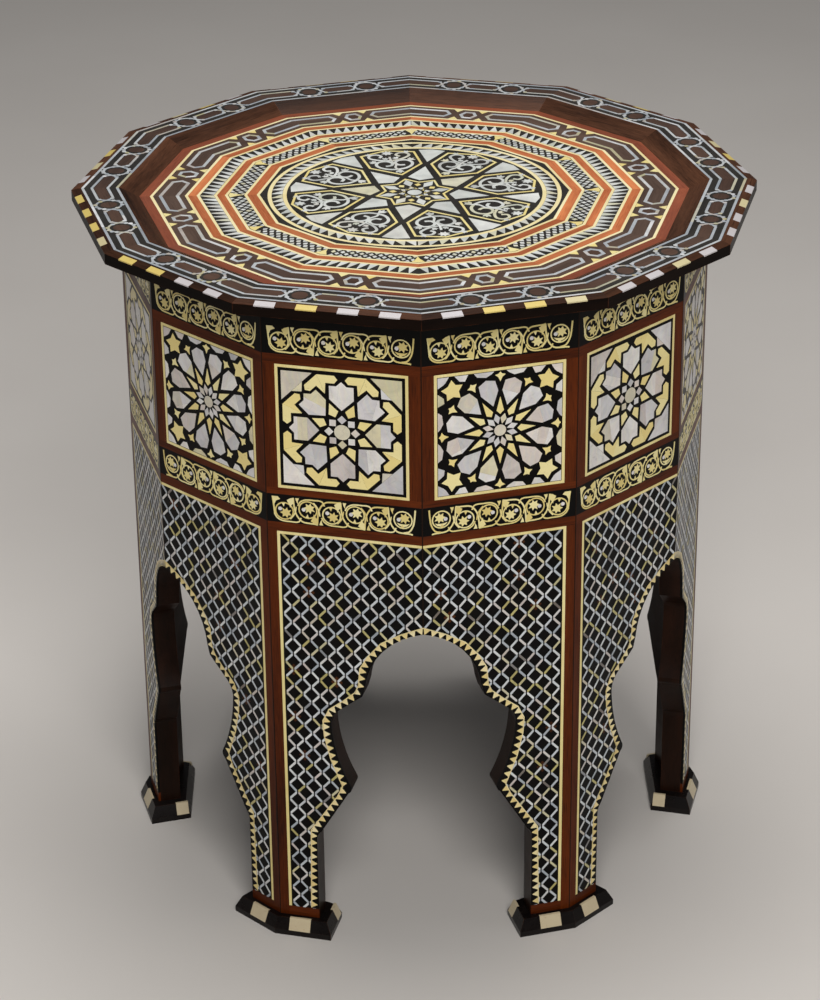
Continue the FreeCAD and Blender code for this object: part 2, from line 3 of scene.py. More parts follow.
import itertools
import math
import random

import bpy
from mathutils import Matrix, Vector


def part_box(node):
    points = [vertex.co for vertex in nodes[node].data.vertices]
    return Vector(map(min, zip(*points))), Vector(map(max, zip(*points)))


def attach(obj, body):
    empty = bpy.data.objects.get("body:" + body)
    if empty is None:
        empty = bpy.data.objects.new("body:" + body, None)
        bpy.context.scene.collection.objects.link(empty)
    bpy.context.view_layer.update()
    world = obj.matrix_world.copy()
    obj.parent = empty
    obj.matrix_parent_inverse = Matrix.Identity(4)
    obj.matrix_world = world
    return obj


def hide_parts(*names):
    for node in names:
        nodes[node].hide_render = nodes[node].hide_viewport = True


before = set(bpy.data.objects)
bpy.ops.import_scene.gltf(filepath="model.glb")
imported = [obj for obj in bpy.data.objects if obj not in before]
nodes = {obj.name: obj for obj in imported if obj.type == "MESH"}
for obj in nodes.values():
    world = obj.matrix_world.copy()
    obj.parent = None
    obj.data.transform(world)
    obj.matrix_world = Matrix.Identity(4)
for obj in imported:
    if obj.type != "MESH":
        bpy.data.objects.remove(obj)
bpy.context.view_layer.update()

# Units and the drum's own sizes, in millimetres
MM = 0.001
SIDES = 12
SIDE_TURN = 360 / SIDES
HALF_TURN = math.radians(SIDE_TURN / 2)
COS = math.cos(HALF_TURN)
TAN = math.tan(HALF_TURN)
DRUM_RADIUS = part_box("leg_posts")[1].x / MM
FACE = DRUM_RADIUS * COS
HALF_SIDE = FACE * TAN

# How far a tile stands in and out of its ground
SUNK = 0.3
PROUD = 0.1
FLUSH = 0.05

# The other hand of a pattern
LEFT_TO_RIGHT = Matrix.Scale(-1, 4, (1, 0, 0))

tile_numbers = itertools.count()


def level(node, corner):
    """Height of a node's lowest (0) or highest (1) corner above the floor, in millimetres."""
    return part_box(node)[corner].z / MM


def outer_apothem(node):
    """Distance from the table's axis to the outer edge of a twelve-sided band."""
    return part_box(node)[1].x / MM * COS


# Nodes that make up shaders

# An sRGB number up to the toe lies on a straight line of this slope
SRGB_FULL = 255
SRGB_TOE = 10
SRGB_TOE_SLOPE = 3295


def new_finish(name):
    """A material, its Principled shader, its nodes, and the place that its patterns are read from."""
    finish = bpy.data.materials.new(name)
    finish.use_nodes = True
    tree = finish.node_tree
    place = add_node(tree, "ShaderNodeTexCoord").outputs["Object"]
    return finish, tree.nodes["Principled BSDF"], tree, place


def add_node(tree, kind, **settings):
    """A node of a kind, with its settings and, by their names or numbers, the values of its inputs."""
    node = tree.nodes.new(kind)
    inputs = settings.pop("inputs", {})
    for key, value in settings.items():
        setattr(node, key, value)
    for key, value in inputs.items():
        if isinstance(value, bpy.types.NodeSocket):
            tree.links.new(value, node.inputs[key])
        else:
            node.inputs[key].default_value = value
    return node


def math_node(tree, operation, first, second=0.0, third=0.0):
    """The result of a math node."""
    inputs = {0: first, 1: second, 2: third}
    return add_node(tree, "ShaderNodeMath", operation=operation, inputs=inputs).outputs[0]


def mix(tree, share, first, second):
    """A mix of two colours."""
    inputs = {0: share, 6: first, 7: second}
    return add_node(tree, "ShaderNodeMix", data_type="RGBA", inputs=inputs).outputs[2]


def scaled(tree, vector, factor):
    """A vector or a colour times a number."""
    inputs = {0: vector, "Scale": factor}
    return add_node(tree, "ShaderNodeVectorMath", operation="SCALE", inputs=inputs).outputs[0]


def carried(tree, value, source=(0.0, 1.0), target=(0.0, 1.0)):
    """A value carried from one range to another, and held within it."""
    inputs = {0: value, 1: source[0], 2: source[1], 3: target[0], 4: target[1]}
    return add_node(tree, "ShaderNodeMapRange", inputs=inputs).outputs[0]


def noise(tree, place, size, detail, roughness=0.5, distortion=0.0):
    """What a noise texture puts out over a place."""
    return add_node(tree, "ShaderNodeTexNoise", inputs={
        "Vector": place, "Scale": size, "Detail": detail, "Roughness": roughness, "Distortion": distortion,
    }).outputs


def stretched(tree, vector, stretch):
    """A vector with each of its directions scaled by itself."""
    return add_node(tree, "ShaderNodeMapping", inputs={0: vector, 3: stretch}).outputs[0]


def looks_up(tree):
    """How far a face looks up, from -1 to 1."""
    normal = add_node(tree, "ShaderNodeNewGeometry").outputs["Normal"]
    return add_node(tree, "ShaderNodeSeparateXYZ", inputs={0: normal}).outputs[2]


def ramp(tree, value, stops):
    """Colours along a value, from (place, colour) pairs."""
    node = add_node(tree, "ShaderNodeValToRGB", inputs={0: value})
    band = node.color_ramp
    while len(band.elements) < len(stops):
        band.elements.new(0.5)
    for element, (place, shade) in zip(band.elements, stops):
        element.position = place
        element.color = shade
    return node.outputs[0]


def colour(red, green, blue):
    """A linear colour from its sRGB numbers out of 255."""
    parts = []
    for number in (red, green, blue):
        if number > SRGB_TOE:
            parts.append(((number / SRGB_FULL + 0.055) / 1.055) ** 2.4)
        else:
            parts.append(number / SRGB_TOE_SLOPE)
    return (*parts, 1)


def new_group(name, inputs, outputs):
    """An empty shader node group with named sockets, and what it is given."""
    group = bpy.data.node_groups.new(name, "ShaderNodeTree")
    for label, kind, value in inputs:
        socket = group.interface.new_socket(label, in_out="INPUT", socket_type=kind)
        if value is not None:
            socket.default_value = value
    for label, kind in outputs:
        group.interface.new_socket(label, in_out="OUTPUT", socket_type=kind)
    return group, group.nodes.new("NodeGroupInput").outputs


def put_out(group, results):
    """The group, with its results linked to its outputs."""
    end = group.nodes.new("NodeGroupOutput")
    for label, result in results.items():
        group.links.new(result, end.inputs[label])
    return group


def use_group(tree, group, inputs):
    """What a group puts out in a material, with its inputs set or linked."""
    return add_node(tree, "ShaderNodeGroup", node_tree=group, inputs=inputs).outputs


def link_look(tree, shader, shade, rough):
    """Links a colour and a roughness to the shader."""
    tree.links.new(shade, shader.inputs["Base Color"])
    tree.links.new(rough, shader.inputs["Roughness"])


def link_relief(tree, shader, height, strength, depth):
    """Links fine relief to the shader, its depth in metres."""
    inputs = {"Strength": strength, "Distance": depth, "Height": height}
    bump = add_node(tree, "ShaderNodeBump", inputs=inputs)
    tree.links.new(bump.outputs[0], shader.inputs["Normal"])


def set_coat(shader, weight, roughness):
    """Gives the shader a clear coat."""
    shader.inputs["Coat Weight"].default_value = weight
    shader.inputs["Coat Roughness"].default_value = roughness


# How far the grain of one side lies from that of the next, along the side, in metres
SIDE_SHIFT = 0.731


def build_straight_run():
    """Coordinates that run along each straight side, and a number that differs from side to side."""
    group, given = new_group(
        "straight_run",
        [("Place", "NodeSocketVector", None)],
        [("Vector", "NodeSocketVector"), ("Side tone", "NodeSocketFloat")],
    )
    place = add_node(group, "ShaderNodeSeparateXYZ", inputs={0: given["Place"]}).outputs
    across = math_node(group, "MULTIPLY", place[0], place[0])
    deep = math_node(group, "MULTIPLY", place[1], place[1])
    radius = math_node(group, "SQRT", math_node(group, "ADD", across, deep))
    azimuth = math_node(group, "ARCTAN2", place[1], place[0])
    turns = math_node(group, "DIVIDE", azimuth, math.radians(SIDE_TURN))
    side = math_node(group, "ADD", math_node(group, "FLOOR", turns), 0.5)
    turn = math_node(group, "MULTIPLY", side, math.radians(SIDE_TURN))
    local = math_node(group, "SUBTRACT", azimuth, turn)
    tangent = math_node(group, "MULTIPLY", radius, math_node(group, "SINE", local))
    out = math_node(group, "MULTIPLY", radius, math_node(group, "COSINE", local))
    run = math_node(group, "MULTIPLY_ADD", side, SIDE_SHIFT, tangent)
    vector = add_node(group, "ShaderNodeCombineXYZ", inputs={0: run, 1: out, 2: place[2]})
    tone = add_node(group, "ShaderNodeTexWhiteNoise", noise_dimensions="1D", inputs={"W": side})
    return put_out(group, {"Vector": vector.outputs[0], "Side tone": tone.outputs["Value"]})


# How much wood's figure and pores are drawn out along its fibres, and how far the fibres waver, in metres
FIGURE_STRETCH = (0.09, 1, 1)
PORE_STRETCH = (0.035, 1, 1)
WAVER = (0.0, 0.02, 0.02)


def build_wood_figure():
    """Wood with its fibres along the vector's first direction: figure, pores and their height."""
    group, given = new_group(
        "wood_figure",
        [("Vector", "NodeSocketVector", None), ("Figure size", "NodeSocketFloat", 55.0),
         ("Fibre size", "NodeSocketFloat", 900.0)],
        [("Figure", "NodeSocketFloat"), ("Pores", "NodeSocketFloat"), ("Height", "NodeSocketFloat")],
    )
    drawn_out = stretched(group, given["Vector"], FIGURE_STRETCH)
    warp = noise(group, drawn_out, 9.0, 2.0)["Color"]
    wavering = add_node(group, "ShaderNodeVectorMath", operation="MULTIPLY_ADD",
                        inputs={0: warp, 1: WAVER, 2: drawn_out}).outputs[0]
    broad = noise(group, wavering, given["Figure size"], 4.0, 0.6)[0]
    fine = noise(group, wavering, given["Fibre size"], 2.0)[0]
    figure = carried(group, math_node(group, "MULTIPLY_ADD", fine, 0.35, broad), (0.42, 0.92))
    grain = noise(group, stretched(group, given["Vector"], PORE_STRETCH), 1400.0, 1.0)[0]
    pores = carried(group, grain, (0.62, 0.74))
    height = math_node(group, "SUBTRACT", math_node(group, "MULTIPLY", fine, 0.4), pores)
    return put_out(group, {"Figure": figure, "Pores": pores, "Height": height})


def build_edge_wear():
    """Where an edge is rubbed: 1 on arrises, broken up by noise, 0 on flats."""
    group, given = new_group(
        "edge_wear",
        [("Place", "NodeSocketVector", None), ("Width", "NodeSocketFloat", 0.0006)],
        [("Mask", "NodeSocketFloat")],
    )
    rounded = add_node(group, "ShaderNodeBevel", samples=4, inputs={"Radius": given["Width"]})
    flat = add_node(group, "ShaderNodeNewGeometry")
    agree = add_node(group, "ShaderNodeVectorMath", operation="DOT_PRODUCT",
                     inputs={0: rounded.outputs[0], 1: flat.outputs["Normal"]})
    edge = carried(group, agree.outputs["Value"], (0.995, 0.9))
    broken = carried(group, noise(group, given["Place"], 70.0, 3.0)[0], (0.4, 0.65))
    return put_out(group, {"Mask": math_node(group, "MULTIPLY", edge, broken)})


def build_surface_dust():
    """Dull film and wiping marks, as a mask that is stronger on faces that look up."""
    group, given = new_group(
        "surface_dust",
        [("Place", "NodeSocketVector", None), ("Size", "NodeSocketFloat", 18.0)],
        [("Mask", "NodeSocketFloat"), ("Smears", "NodeSocketFloat")],
    )
    cloud = noise(group, given["Place"], given["Size"], 5.0, 0.65)[0]
    spots = carried(group, noise(group, given["Place"], 1500.0, 0.0)[0], (0.66, 0.76))
    film = carried(group, cloud, (0.4, 0.75), (0.0, 0.6))
    lies = carried(group, looks_up(group), (-0.2, 0.9), (0.25, 1.0))
    both = math_node(group, "ADD", film, spots)
    mask = add_node(group, "ShaderNodeMath", operation="MULTIPLY", use_clamp=True, inputs={0: both, 1: lies})
    return put_out(group, {"Mask": mask.outputs[0], "Smears": cloud})


straight_run = build_straight_run()
wood_figure = build_wood_figure()
edge_wear = build_edge_wear()
surface_dust = build_surface_dust()


# What finishes share: how dark pores are, how far edges are rubbed, dust, and relief in metres
PORE_SHADE = 0.35
RUBBED_SHARE = 0.7
DUST_GREY = colour(150, 140, 130)
FLECK_BROWN = colour(150, 105, 55)
CRACK_BROWN = colour(70, 60, 52)
WOOD_RELIEF = 0.0003
SHELL_RELIEF = 0.0004
NACRE_HUES = [
    (0.0, colour(196, 186, 206)), (0.3, colour(214, 196, 190)), (0.55, colour(226, 220, 198)),
    (0.8, colour(188, 205, 196)), (1.0, colour(190, 192, 212)),
]


def run_of_grain(tree, place, way):
    """The vector for fibres that stand, run round the sides or lie across the table, and the side's tone."""
    if way == "upright":
        parts = add_node(tree, "ShaderNodeSeparateXYZ", inputs={0: place}).outputs
        standing = add_node(tree, "ShaderNodeCombineXYZ", inputs={0: parts[2], 1: parts[0], 2: parts[1]})
        return standing.outputs[0], None
    if way == "round":
        run = use_group(tree, straight_run, {"Place": place})
        return run["Vector"], run["Side tone"]
    return place, None


def wood(name, dark, light, way, gloss, pore_depth=0.5, worn=None, tone_reach=0.0, dust=0.03, shine=0.2,
         coat=0.05, painted_shade_on_uprights=1.0):
    """A lacquered wood: two colours along its figure, painted shade on upright faces, dark pores, rubbed
    edges, dust and a thin coat.
    """
    finish, shader, tree, place = new_finish(name)
    vector, side_tone = run_of_grain(tree, place, way)
    figure = use_group(tree, wood_figure, {"Vector": vector})
    shade = mix(tree, figure["Figure"], dark, light)
    if tone_reach:
        shade = scaled(tree, shade, carried(tree, side_tone, target=(1 - tone_reach, 1 + tone_reach)))
    # Painted shade: faces that stand upright get a darker colour, down to the given share, while faces that
    # look up keep it whole
    if painted_shade_on_uprights < 1:
        shade = scaled(tree, shade, carried(tree, looks_up(tree), (0.05, 0.3), (painted_shade_on_uprights, 1.0)))
    pores = math_node(tree, "MULTIPLY", figure["Pores"], pore_depth)
    shade = mix(tree, pores, shade, tuple(part * PORE_SHADE for part in dark[:3]) + (1,))
    if worn is not None:
        rubbed = use_group(tree, edge_wear, {"Place": place})["Mask"]
        shade = mix(tree, math_node(tree, "MULTIPLY", rubbed, RUBBED_SHARE), shade, worn)
    film = use_group(tree, surface_dust, {"Place": place})
    shade = mix(tree, math_node(tree, "MULTIPLY", film["Mask"], dust), shade, DUST_GREY)
    link_look(tree, shader, shade, carried(tree, film["Smears"], (0.3, 0.7), (gloss, gloss + 0.16)))
    link_relief(tree, shader, figure["Height"], 0.12, WOOD_RELIEF)
    shader.inputs["Specular IOR Level"].default_value = shine
    set_coat(shader, coat, gloss * 0.7)
    return finish


def tile_tone(tree):
    """The number from 0 to 1 that each tile carries."""
    return add_node(tree, "ShaderNodeAttribute", attribute_name="tone").outputs["Fac"]


def own_place(tree, place, tone, step):
    """The place moved by the tile's tone, so that each tile has its own part of a pattern."""
    inputs = {0: place, 1: scaled(tree, step, tone)}
    return add_node(tree, "ShaderNodeVectorMath", operation="ADD", inputs=inputs).outputs[0]


def shell(name, tones, sheen=0.16):
    """Mother-of-pearl: a colour for each tile, clouds, nacre bands, hair cracks and a hard polish."""
    finish, shader, tree, place = new_finish(name)
    tone = tile_tone(tree)
    own = own_place(tree, place, tone, (3.1, 5.3, 2.7))
    cloud = noise(tree, own, 60.0, 4.0, 0.6, 0.6)[0]
    clouded = scaled(tree, ramp(tree, tone, tones), carried(tree, cloud, (0.25, 0.75), (0.74, 1.14)))
    layers = add_node(tree, "ShaderNodeTexWave", inputs={
        "Vector": own, "Scale": 30.0, "Distortion": 9.0, "Detail": 3.0, "Detail Scale": 1.6,
    }).outputs["Fac"]
    nacre = mix(tree, sheen, clouded, ramp(tree, layers, NACRE_HUES))
    cells = add_node(tree, "ShaderNodeTexVoronoi", feature="DISTANCE_TO_EDGE", inputs={
        "Vector": own, "Scale": 62.0, "Randomness": 1.0,
    }).outputs[0]
    cracked = mix(tree, carried(tree, cells, (0.0, 0.012), (0.14, 0.0)), nacre, CRACK_BROWN)
    link_look(tree, shader, cracked, carried(tree, cloud, target=(0.2, 0.42)))
    link_relief(tree, shader, layers, 0.08, SHELL_RELIEF)
    set_coat(shader, 0.4, 0.15)
    return finish


def bone(name, tones):
    """Polished bone or yellow wood: a colour for each tile, fine streaks and brown flecks."""
    finish, shader, tree, place = new_finish(name)
    tone = tile_tone(tree)
    base = ramp(tree, tone, tones)
    own = own_place(tree, place, tone, (1.7, 4.1, 2.9))
    figure = use_group(tree, wood_figure, {"Vector": own, "Figure size": 120.0, "Fibre size": 1300.0})
    streaks = math_node(tree, "MULTIPLY", figure["Figure"], 0.35)
    streaked = mix(tree, streaks, base, mix(tree, 0.3, base, FLECK_BROWN))
    flecks = carried(tree, noise(tree, own, 420.0, 3.0)[0], (0.63, 0.8), (0.0, 0.4))
    film = use_group(tree, surface_dust, {"Place": place, "Size": 40.0})
    rough = carried(tree, film["Smears"], target=(0.24, 0.5))
    link_look(tree, shader, mix(tree, flecks, streaked, FLECK_BROWN), rough)
    link_relief(tree, shader, figure["Height"], 0.1, WOOD_RELIEF)
    set_coat(shader, 0.3, 0.2)
    return finish


def steel(name):
    """Dull screw steel, cloudy in colour and gloss."""
    finish, shader, tree, place = new_finish(name)
    spots = noise(tree, place, 600.0, 3.0)[0]
    shade = mix(tree, spots, colour(120, 116, 110), colour(186, 184, 180))
    link_look(tree, shader, shade, carried(tree, spots, target=(0.28, 0.5)))
    shader.inputs["Metallic"].default_value = 1.0
    return finish


# Finishes of the table's own woods, bone and shell
side_walnut = wood("side_walnut", colour(16, 8, 4), colour(40, 20, 10), "upright", 0.3,
                   worn=colour(84, 48, 28), dust=0.0, shine=0.1, coat=0.0)
under_walnut = wood("under_walnut", colour(40, 22, 14), colour(84, 52, 32), "across", 0.45)
# The rim's fascia and other upright faces carry painted shade: a tenth of the colour of the rim's faces that
# look up
rim_walnut = wood("rim_walnut", colour(32, 19, 13), colour(88, 56, 39), "round", 0.3,
                  worn=colour(112, 60, 32), tone_reach=0.35, dust=0.01, shine=0.06, coat=0.0,
                  painted_shade_on_uprights=0.1)
post_padauk = wood("post_padauk", colour(50, 17, 2), colour(104, 44, 8), "upright", 0.3,
                   pore_depth=0.6, dust=0.0, shine=0.1, coat=0.0)
rail_padauk = wood("rail_padauk", colour(52, 18, 3), colour(108, 46, 10), "round", 0.3,
                   pore_depth=0.6, tone_reach=0.2, dust=0.0, shine=0.1, coat=0.0)
strip_padauk = wood("strip_padauk", colour(146, 68, 36), colour(212, 128, 78), "round", 0.3,
                    tone_reach=0.2, shine=0.35)
margin_padauk = wood("margin_padauk", colour(104, 48, 30), colour(154, 82, 54), "round", 0.26,
                     tone_reach=0.15, shine=0.5)
ebony = wood("ebony", colour(5, 4, 4), colour(12, 10, 9), "upright", 0.26,
             pore_depth=0.3, dust=0.01, shine=0.08, coat=0.0)
top_ebony = wood("top_ebony", colour(26, 24, 21), colour(50, 45, 39), "round", 0.26,
                 pore_depth=0.3, shine=0.6)
foot_ebony = wood("foot_ebony", colour(8, 6, 6), colour(20, 13, 11), "round", 0.2,
                  worn=colour(84, 52, 30), coat=0.0)
band_walnut = wood("band_walnut", colour(62, 44, 35), colour(98, 76, 63), "round", 0.28,
                   pore_depth=0.4, shine=0.6)
cell_walnut = wood("cell_walnut", colour(54, 37, 29), colour(92, 66, 52), "round", 0.28,
                   pore_depth=0.4, shine=0.5, coat=0.0)
brown_cell = wood("brown_cell", colour(40, 18, 4), colour(82, 42, 12), "upright", 0.3,
                  dust=0.0, shine=0.1, coat=0.0)
mitre_filler = wood("mitre_filler", colour(14, 7, 3), colour(46, 24, 10), "upright", 0.4,
                    dust=0.0, shine=0.1, coat=0.0)
string_wood = wood("string_wood", colour(230, 210, 148), colour(252, 240, 194), "round", 0.3,
                   pore_depth=0.12)
side_string_wood = wood("side_string_wood", colour(224, 202, 128), colour(248, 234, 172), "upright", 0.3,
                        pore_depth=0.15)
softwood = wood("softwood", colour(150, 116, 78), colour(196, 162, 116), "upright", 0.6, dust=0.2)
screw_steel = steel("screw_steel")

disc_shell = shell("disc_shell", [(0.0, colour(214, 206, 178)), (1.0, colour(230, 222, 196))], sheen=0.06)
panel_shell = shell("panel_shell", [
    (0.0, colour(200, 197, 197)), (0.3, colour(229, 226, 224)), (0.55, colour(241, 237, 229)),
    (0.75, colour(228, 214, 200)), (0.87, colour(206, 196, 190)), (0.94, colour(232, 222, 178)),
    (1.0, colour(214, 206, 160))])
top_shell = shell("top_shell", [
    (0.0, colour(206, 208, 202)), (0.3, colour(226, 229, 222)), (0.6, colour(238, 239, 233)),
    (0.8, colour(226, 224, 214)), (0.93, colour(228, 222, 186)), (1.0, colour(214, 218, 200))], sheen=0.08)
lattice_shell = shell("lattice_shell", [
    (0.0, colour(104, 90, 78)), (0.05, colour(160, 169, 178)), (0.3, colour(202, 208, 212)),
    (0.6, colour(222, 223, 221)), (0.78, colour(202, 191, 184)), (0.86, colour(206, 199, 156)),
    (0.93, colour(178, 165, 88)), (1.0, colour(196, 186, 112))], sheen=0.06)
line_shell = shell("line_shell", [
    (0.0, colour(150, 158, 164)), (0.3, colour(184, 189, 193)), (0.6, colour(205, 208, 207)),
    (0.74, colour(190, 180, 171)), (0.84, colour(192, 184, 134)), (0.92, colour(204, 204, 202)),
    (1.0, colour(240, 240, 240))], sheen=0.1)
scroll_wood = bone("scroll_wood", [
    (0.0, colour(226, 204, 122)), (0.5, colour(240, 224, 148)), (1.0, colour(250, 238, 176))])
star_wood = bone("star_wood", [
    (0.0, colour(243, 221, 140)), (0.5, colour(248, 230, 154)), (1.0, colour(250, 237, 172))])
edge_bone = bone("edge_bone", [
    (0.0, colour(230, 206, 132)), (0.5, colour(240, 220, 154)), (1.0, colour(246, 232, 182))])
block_bone = bone("block_bone", [
    (0.0, colour(222, 196, 104)), (0.4, colour(214, 200, 140)), (0.6, colour(204, 198, 188)),
    (1.0, colour(202, 197, 198))])
foot_bone = bone("foot_bone", [(0.0, colour(208, 192, 158)), (1.0, colour(224, 210, 180))])


def dress(names, finish):
    """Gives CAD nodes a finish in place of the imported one."""
    for name in names:
        materials = nodes[name].data.materials
        materials.clear()
        materials.append(finish)


dress([name for name in nodes if name.startswith("side_board")], side_walnut)
dress([name for name in nodes if name.startswith("rim_segment")], rim_walnut)
dress([f"foot_{number}" for number in range(1, 7)], foot_ebony)
dress(["foot_bone_blocks"], foot_bone)
dress(["foot_dowels", "corner_blocks", "top_cleats"], softwood)
dress(["cleat_screws"], screw_steel)
dress(["top_panel"], under_walnut)
dress(["leg_posts", "panel_stiles"], post_padauk)
dress(["red_rails", "leg_strips"], rail_padauk)
dress(["field_red_strips"], strip_padauk)
dress(["field_margin_strips"], margin_padauk)
dress(["field_stringing", "rosette_rings"], string_wood)
dress(["leg_stringing", "panel_stringing"], side_string_wood)
dress(["lattice_panels", "star_panels_eightfold", "star_panels_twelvefold", "upper_frieze_panels",
       "lower_frieze_panels"], ebony)
dress(["rim_veneers", "sawtooth_band_veneers", "mosaic_band_veneers", "rosette_border", "rosette_disc",
       "sawtooth_ring"], top_ebony)
dress(["outer_band_veneers"], band_walnut)


# Tiles, strips and rings of inlay, drawn flat about the origin in millimetres

def shift(across, up, out=0.0):
    """A move by millimetres."""
    return Matrix.Translation((across * MM, up * MM, out * MM))


def clockwise(turn):
    """A turn in degrees, clockwise as seen on the face of a pattern."""
    return Matrix.Rotation(-math.radians(turn), 4, "Z")


def select_only(piece):
    """Selects one piece and nothing else."""
    bpy.ops.object.select_all(action="DESELECT")
    piece.select_set(True)
    bpy.context.view_layer.objects.active = piece


def edit_all(piece):
    """Opens one piece in edit mode with all of it selected."""
    select_only(piece)
    bpy.ops.object.mode_set(mode="EDIT")
    bpy.ops.mesh.select_all(action="SELECT")


def number_tile(piece):
    """Marks all faces of a tile with the tile's own number."""
    marks = piece.data.attributes.get("tile") or piece.data.attributes.new("tile", "INT", "FACE")
    marks.data.foreach_set("value", [next(tile_numbers)] * len(piece.data.polygons))


def raise_tile(piece, proud):
    """Extrudes a flat shape into a closed tile that is let into its ground and stands a hair above it."""
    edit_all(piece)
    bpy.ops.mesh.extrude_region_move(TRANSFORM_OT_translate={"value": (0, 0, (SUNK + proud) * MM)})
    bpy.ops.mesh.select_all(action="SELECT")
    bpy.ops.mesh.normals_make_consistent(inside=False)
    bpy.ops.object.mode_set(mode="OBJECT")
    number_tile(piece)
    return piece


def flat_shape(corners):
    """A flat polygon, from a circle whose points are moved to the corners."""
    bpy.ops.object.select_all(action="DESELECT")
    bpy.ops.mesh.primitive_circle_add(vertices=len(corners), radius=MM, fill_type="NGON")
    piece = bpy.context.object
    for point, (across, up) in zip(piece.data.vertices, corners):
        point.co = (across * MM, up * MM, -SUNK * MM)
    return piece


def tile(corners, proud=PROUD):
    """A tile with the given outline."""
    return raise_tile(flat_shape(corners), proud)


def ring(radius, width, steps):
    """A ring of even width, from its outer radius."""
    piece = flat_shape([spoke(radius, 360 * step / steps) for step in range(steps)])
    edit_all(piece)
    bpy.ops.mesh.inset(thickness=width * MM)
    bpy.ops.mesh.delete(type="FACE")
    bpy.ops.object.mode_set(mode="OBJECT")
    return raise_tile(piece, PROUD)


def disc(radius, steps, proud=PROUD):
    """A round tile."""
    return tile([spoke(radius, 360 * step / steps) for step in range(steps)], proud)


def spoke(radius, turn):
    """A point at a radius and a turn in degrees from straight up, clockwise."""
    angle = math.radians(turn)
    return (radius * math.sin(angle), radius * math.cos(angle))


def both_hands(half):
    """A closed outline from its right half, given from the top down, and the mirror of it."""
    return list(half) + [(-across, up) for across, up in reversed(half) if abs(across) > 1e-6]


def turned(points, turn):
    """Points turned clockwise about the origin."""
    angle = math.radians(turn)
    cos, sin = math.cos(angle), math.sin(angle)
    return [(across * cos + up * sin, up * cos - across * sin) for across, up in points]


def moved(points, across, up):
    """Points moved in their plane."""
    return [(x + across, y + up) for x, y in points]


def mirrored_about(points, turn):
    """Points mirrored in a line through the origin at a turn from straight up, in reverse order."""
    return turned([(-across, up) for across, up in reversed(turned(points, -turn))], turn)


def smooth(points, steps=3):
    """A curve through points, each span of it in a few steps."""
    curve = []
    for number in range(len(points) - 1):
        before = points[max(number - 1, 0)]
        start, end = points[number], points[number + 1]
        after = points[min(number + 2, len(points) - 1)]
        for step in range(steps):
            share = step / steps
            curve.append(tuple(
                0.5 * (2 * b + (c - a) * share + (2 * a - 5 * b + 4 * c - d) * share ** 2
                       + (3 * b - a - 3 * c + d) * share ** 3)
                for a, b, c, d in zip(before, start, end, after)))
    return curve + [points[-1]]


def ribbon(line, width):
    """The outline of a strip of even width along a line."""
    left, right = [], []
    for number, (x, y) in enumerate(line):
        before = line[max(number - 1, 0)]
        after = line[min(number + 1, len(line) - 1)]
        run = (after[0] - before[0], after[1] - before[1])
        share = width / 2 / math.hypot(*run)
        left.append((x - run[1] * share, y + run[0] * share))
        right.append((x + run[1] * share, y - run[0] * share))
    return left + right[::-1]


def offset(outline, width):
    """A clockwise outline moved inwards by a width, with mitred corners."""
    inner = []
    count = len(outline)
    for number in range(count):
        before, here, after = outline[number - 1], outline[number], outline[(number + 1) % count]
        first = (here[0] - before[0], here[1] - before[1])
        second = (after[0] - here[0], after[1] - here[1])
        a, b = math.hypot(*first), math.hypot(*second)
        first_in = (first[1] / a, -first[0] / a)
        second_in = (second[1] / b, -second[0] / b)
        spread = 1 + first_in[0] * second_in[0] + first_in[1] * second_in[1]
        inner.append(tuple(
            here[axis] + width * (first_in[axis] + second_in[axis]) / spread for axis in (0, 1)))
    return inner


def strips_round(outline, width):
    """A frame of separate mitred strips, one along each edge of an outline."""
    inner = offset(outline, width)
    count = len(outline)
    return [tile([outline[n], outline[(n + 1) % count], inner[(n + 1) % count], inner[n]])
            for n in range(count)]


def copy_of(piece, place):
    """A copy with its own mesh, put in place."""
    other = piece.copy()
    other.data = piece.data.copy()
    other.data.transform(place)
    bpy.context.collection.objects.link(other)
    return other


def numbered_copy(piece, place):
    """A copy of a tile with its own mesh and number, put in place."""
    other = copy_of(piece, place)
    number_tile(other)
    return other


def remove(piece):
    """Takes a piece and its mesh out of the scene."""
    mesh = piece.data
    bpy.data.objects.remove(piece)
    bpy.data.meshes.remove(mesh)


def at_each(piece, places):
    """Copies of a tile at places given as matrices, in place of the tile."""
    copies = [numbered_copy(piece, place) for place in places]
    remove(piece)
    return copies


def around(piece, count, start=0.0):
    """Copies of a tile at equal turns about the origin, in place of the tile."""
    return at_each(piece, [clockwise(start + 360 * step / count) for step in range(count)])


def at_places(piece, places):
    """Copies of a tile moved to places in its plane, in place of the tile."""
    return at_each(piece, [shift(across, up) for across, up in places])


def mirror_of(piece):
    """A copy mirrored left to right, with its own number."""
    return numbered_copy(piece, LEFT_TO_RIGHT)


def joined(pieces):
    """Several pieces made one."""
    bpy.ops.object.select_all(action="DESELECT")
    for piece in pieces:
        piece.select_set(True)
    bpy.context.view_layer.objects.active = pieces[0]
    if len(pieces) > 1:
        bpy.ops.object.join()
    return bpy.context.view_layer.objects.active


def tile_numbers_of(piece):
    """The tile number of each face of a piece."""
    numbers = [0] * len(piece.data.polygons)
    piece.data.attributes["tile"].data.foreach_get("value", numbers)
    return numbers


def renumber(piece):
    """Gives each tile of a copied pattern a new number."""
    numbers = tile_numbers_of(piece)
    fresh = {number: next(tile_numbers) for number in sorted(set(numbers))}
    piece.data.attributes["tile"].data.foreach_set("value", [fresh[number] for number in numbers])


def name_piece(piece, name, finish):
    """Gives a piece its name and its one finish."""
    piece.name = name
    piece.data.name = name
    piece.data.materials.clear()
    piece.data.materials.append(finish)


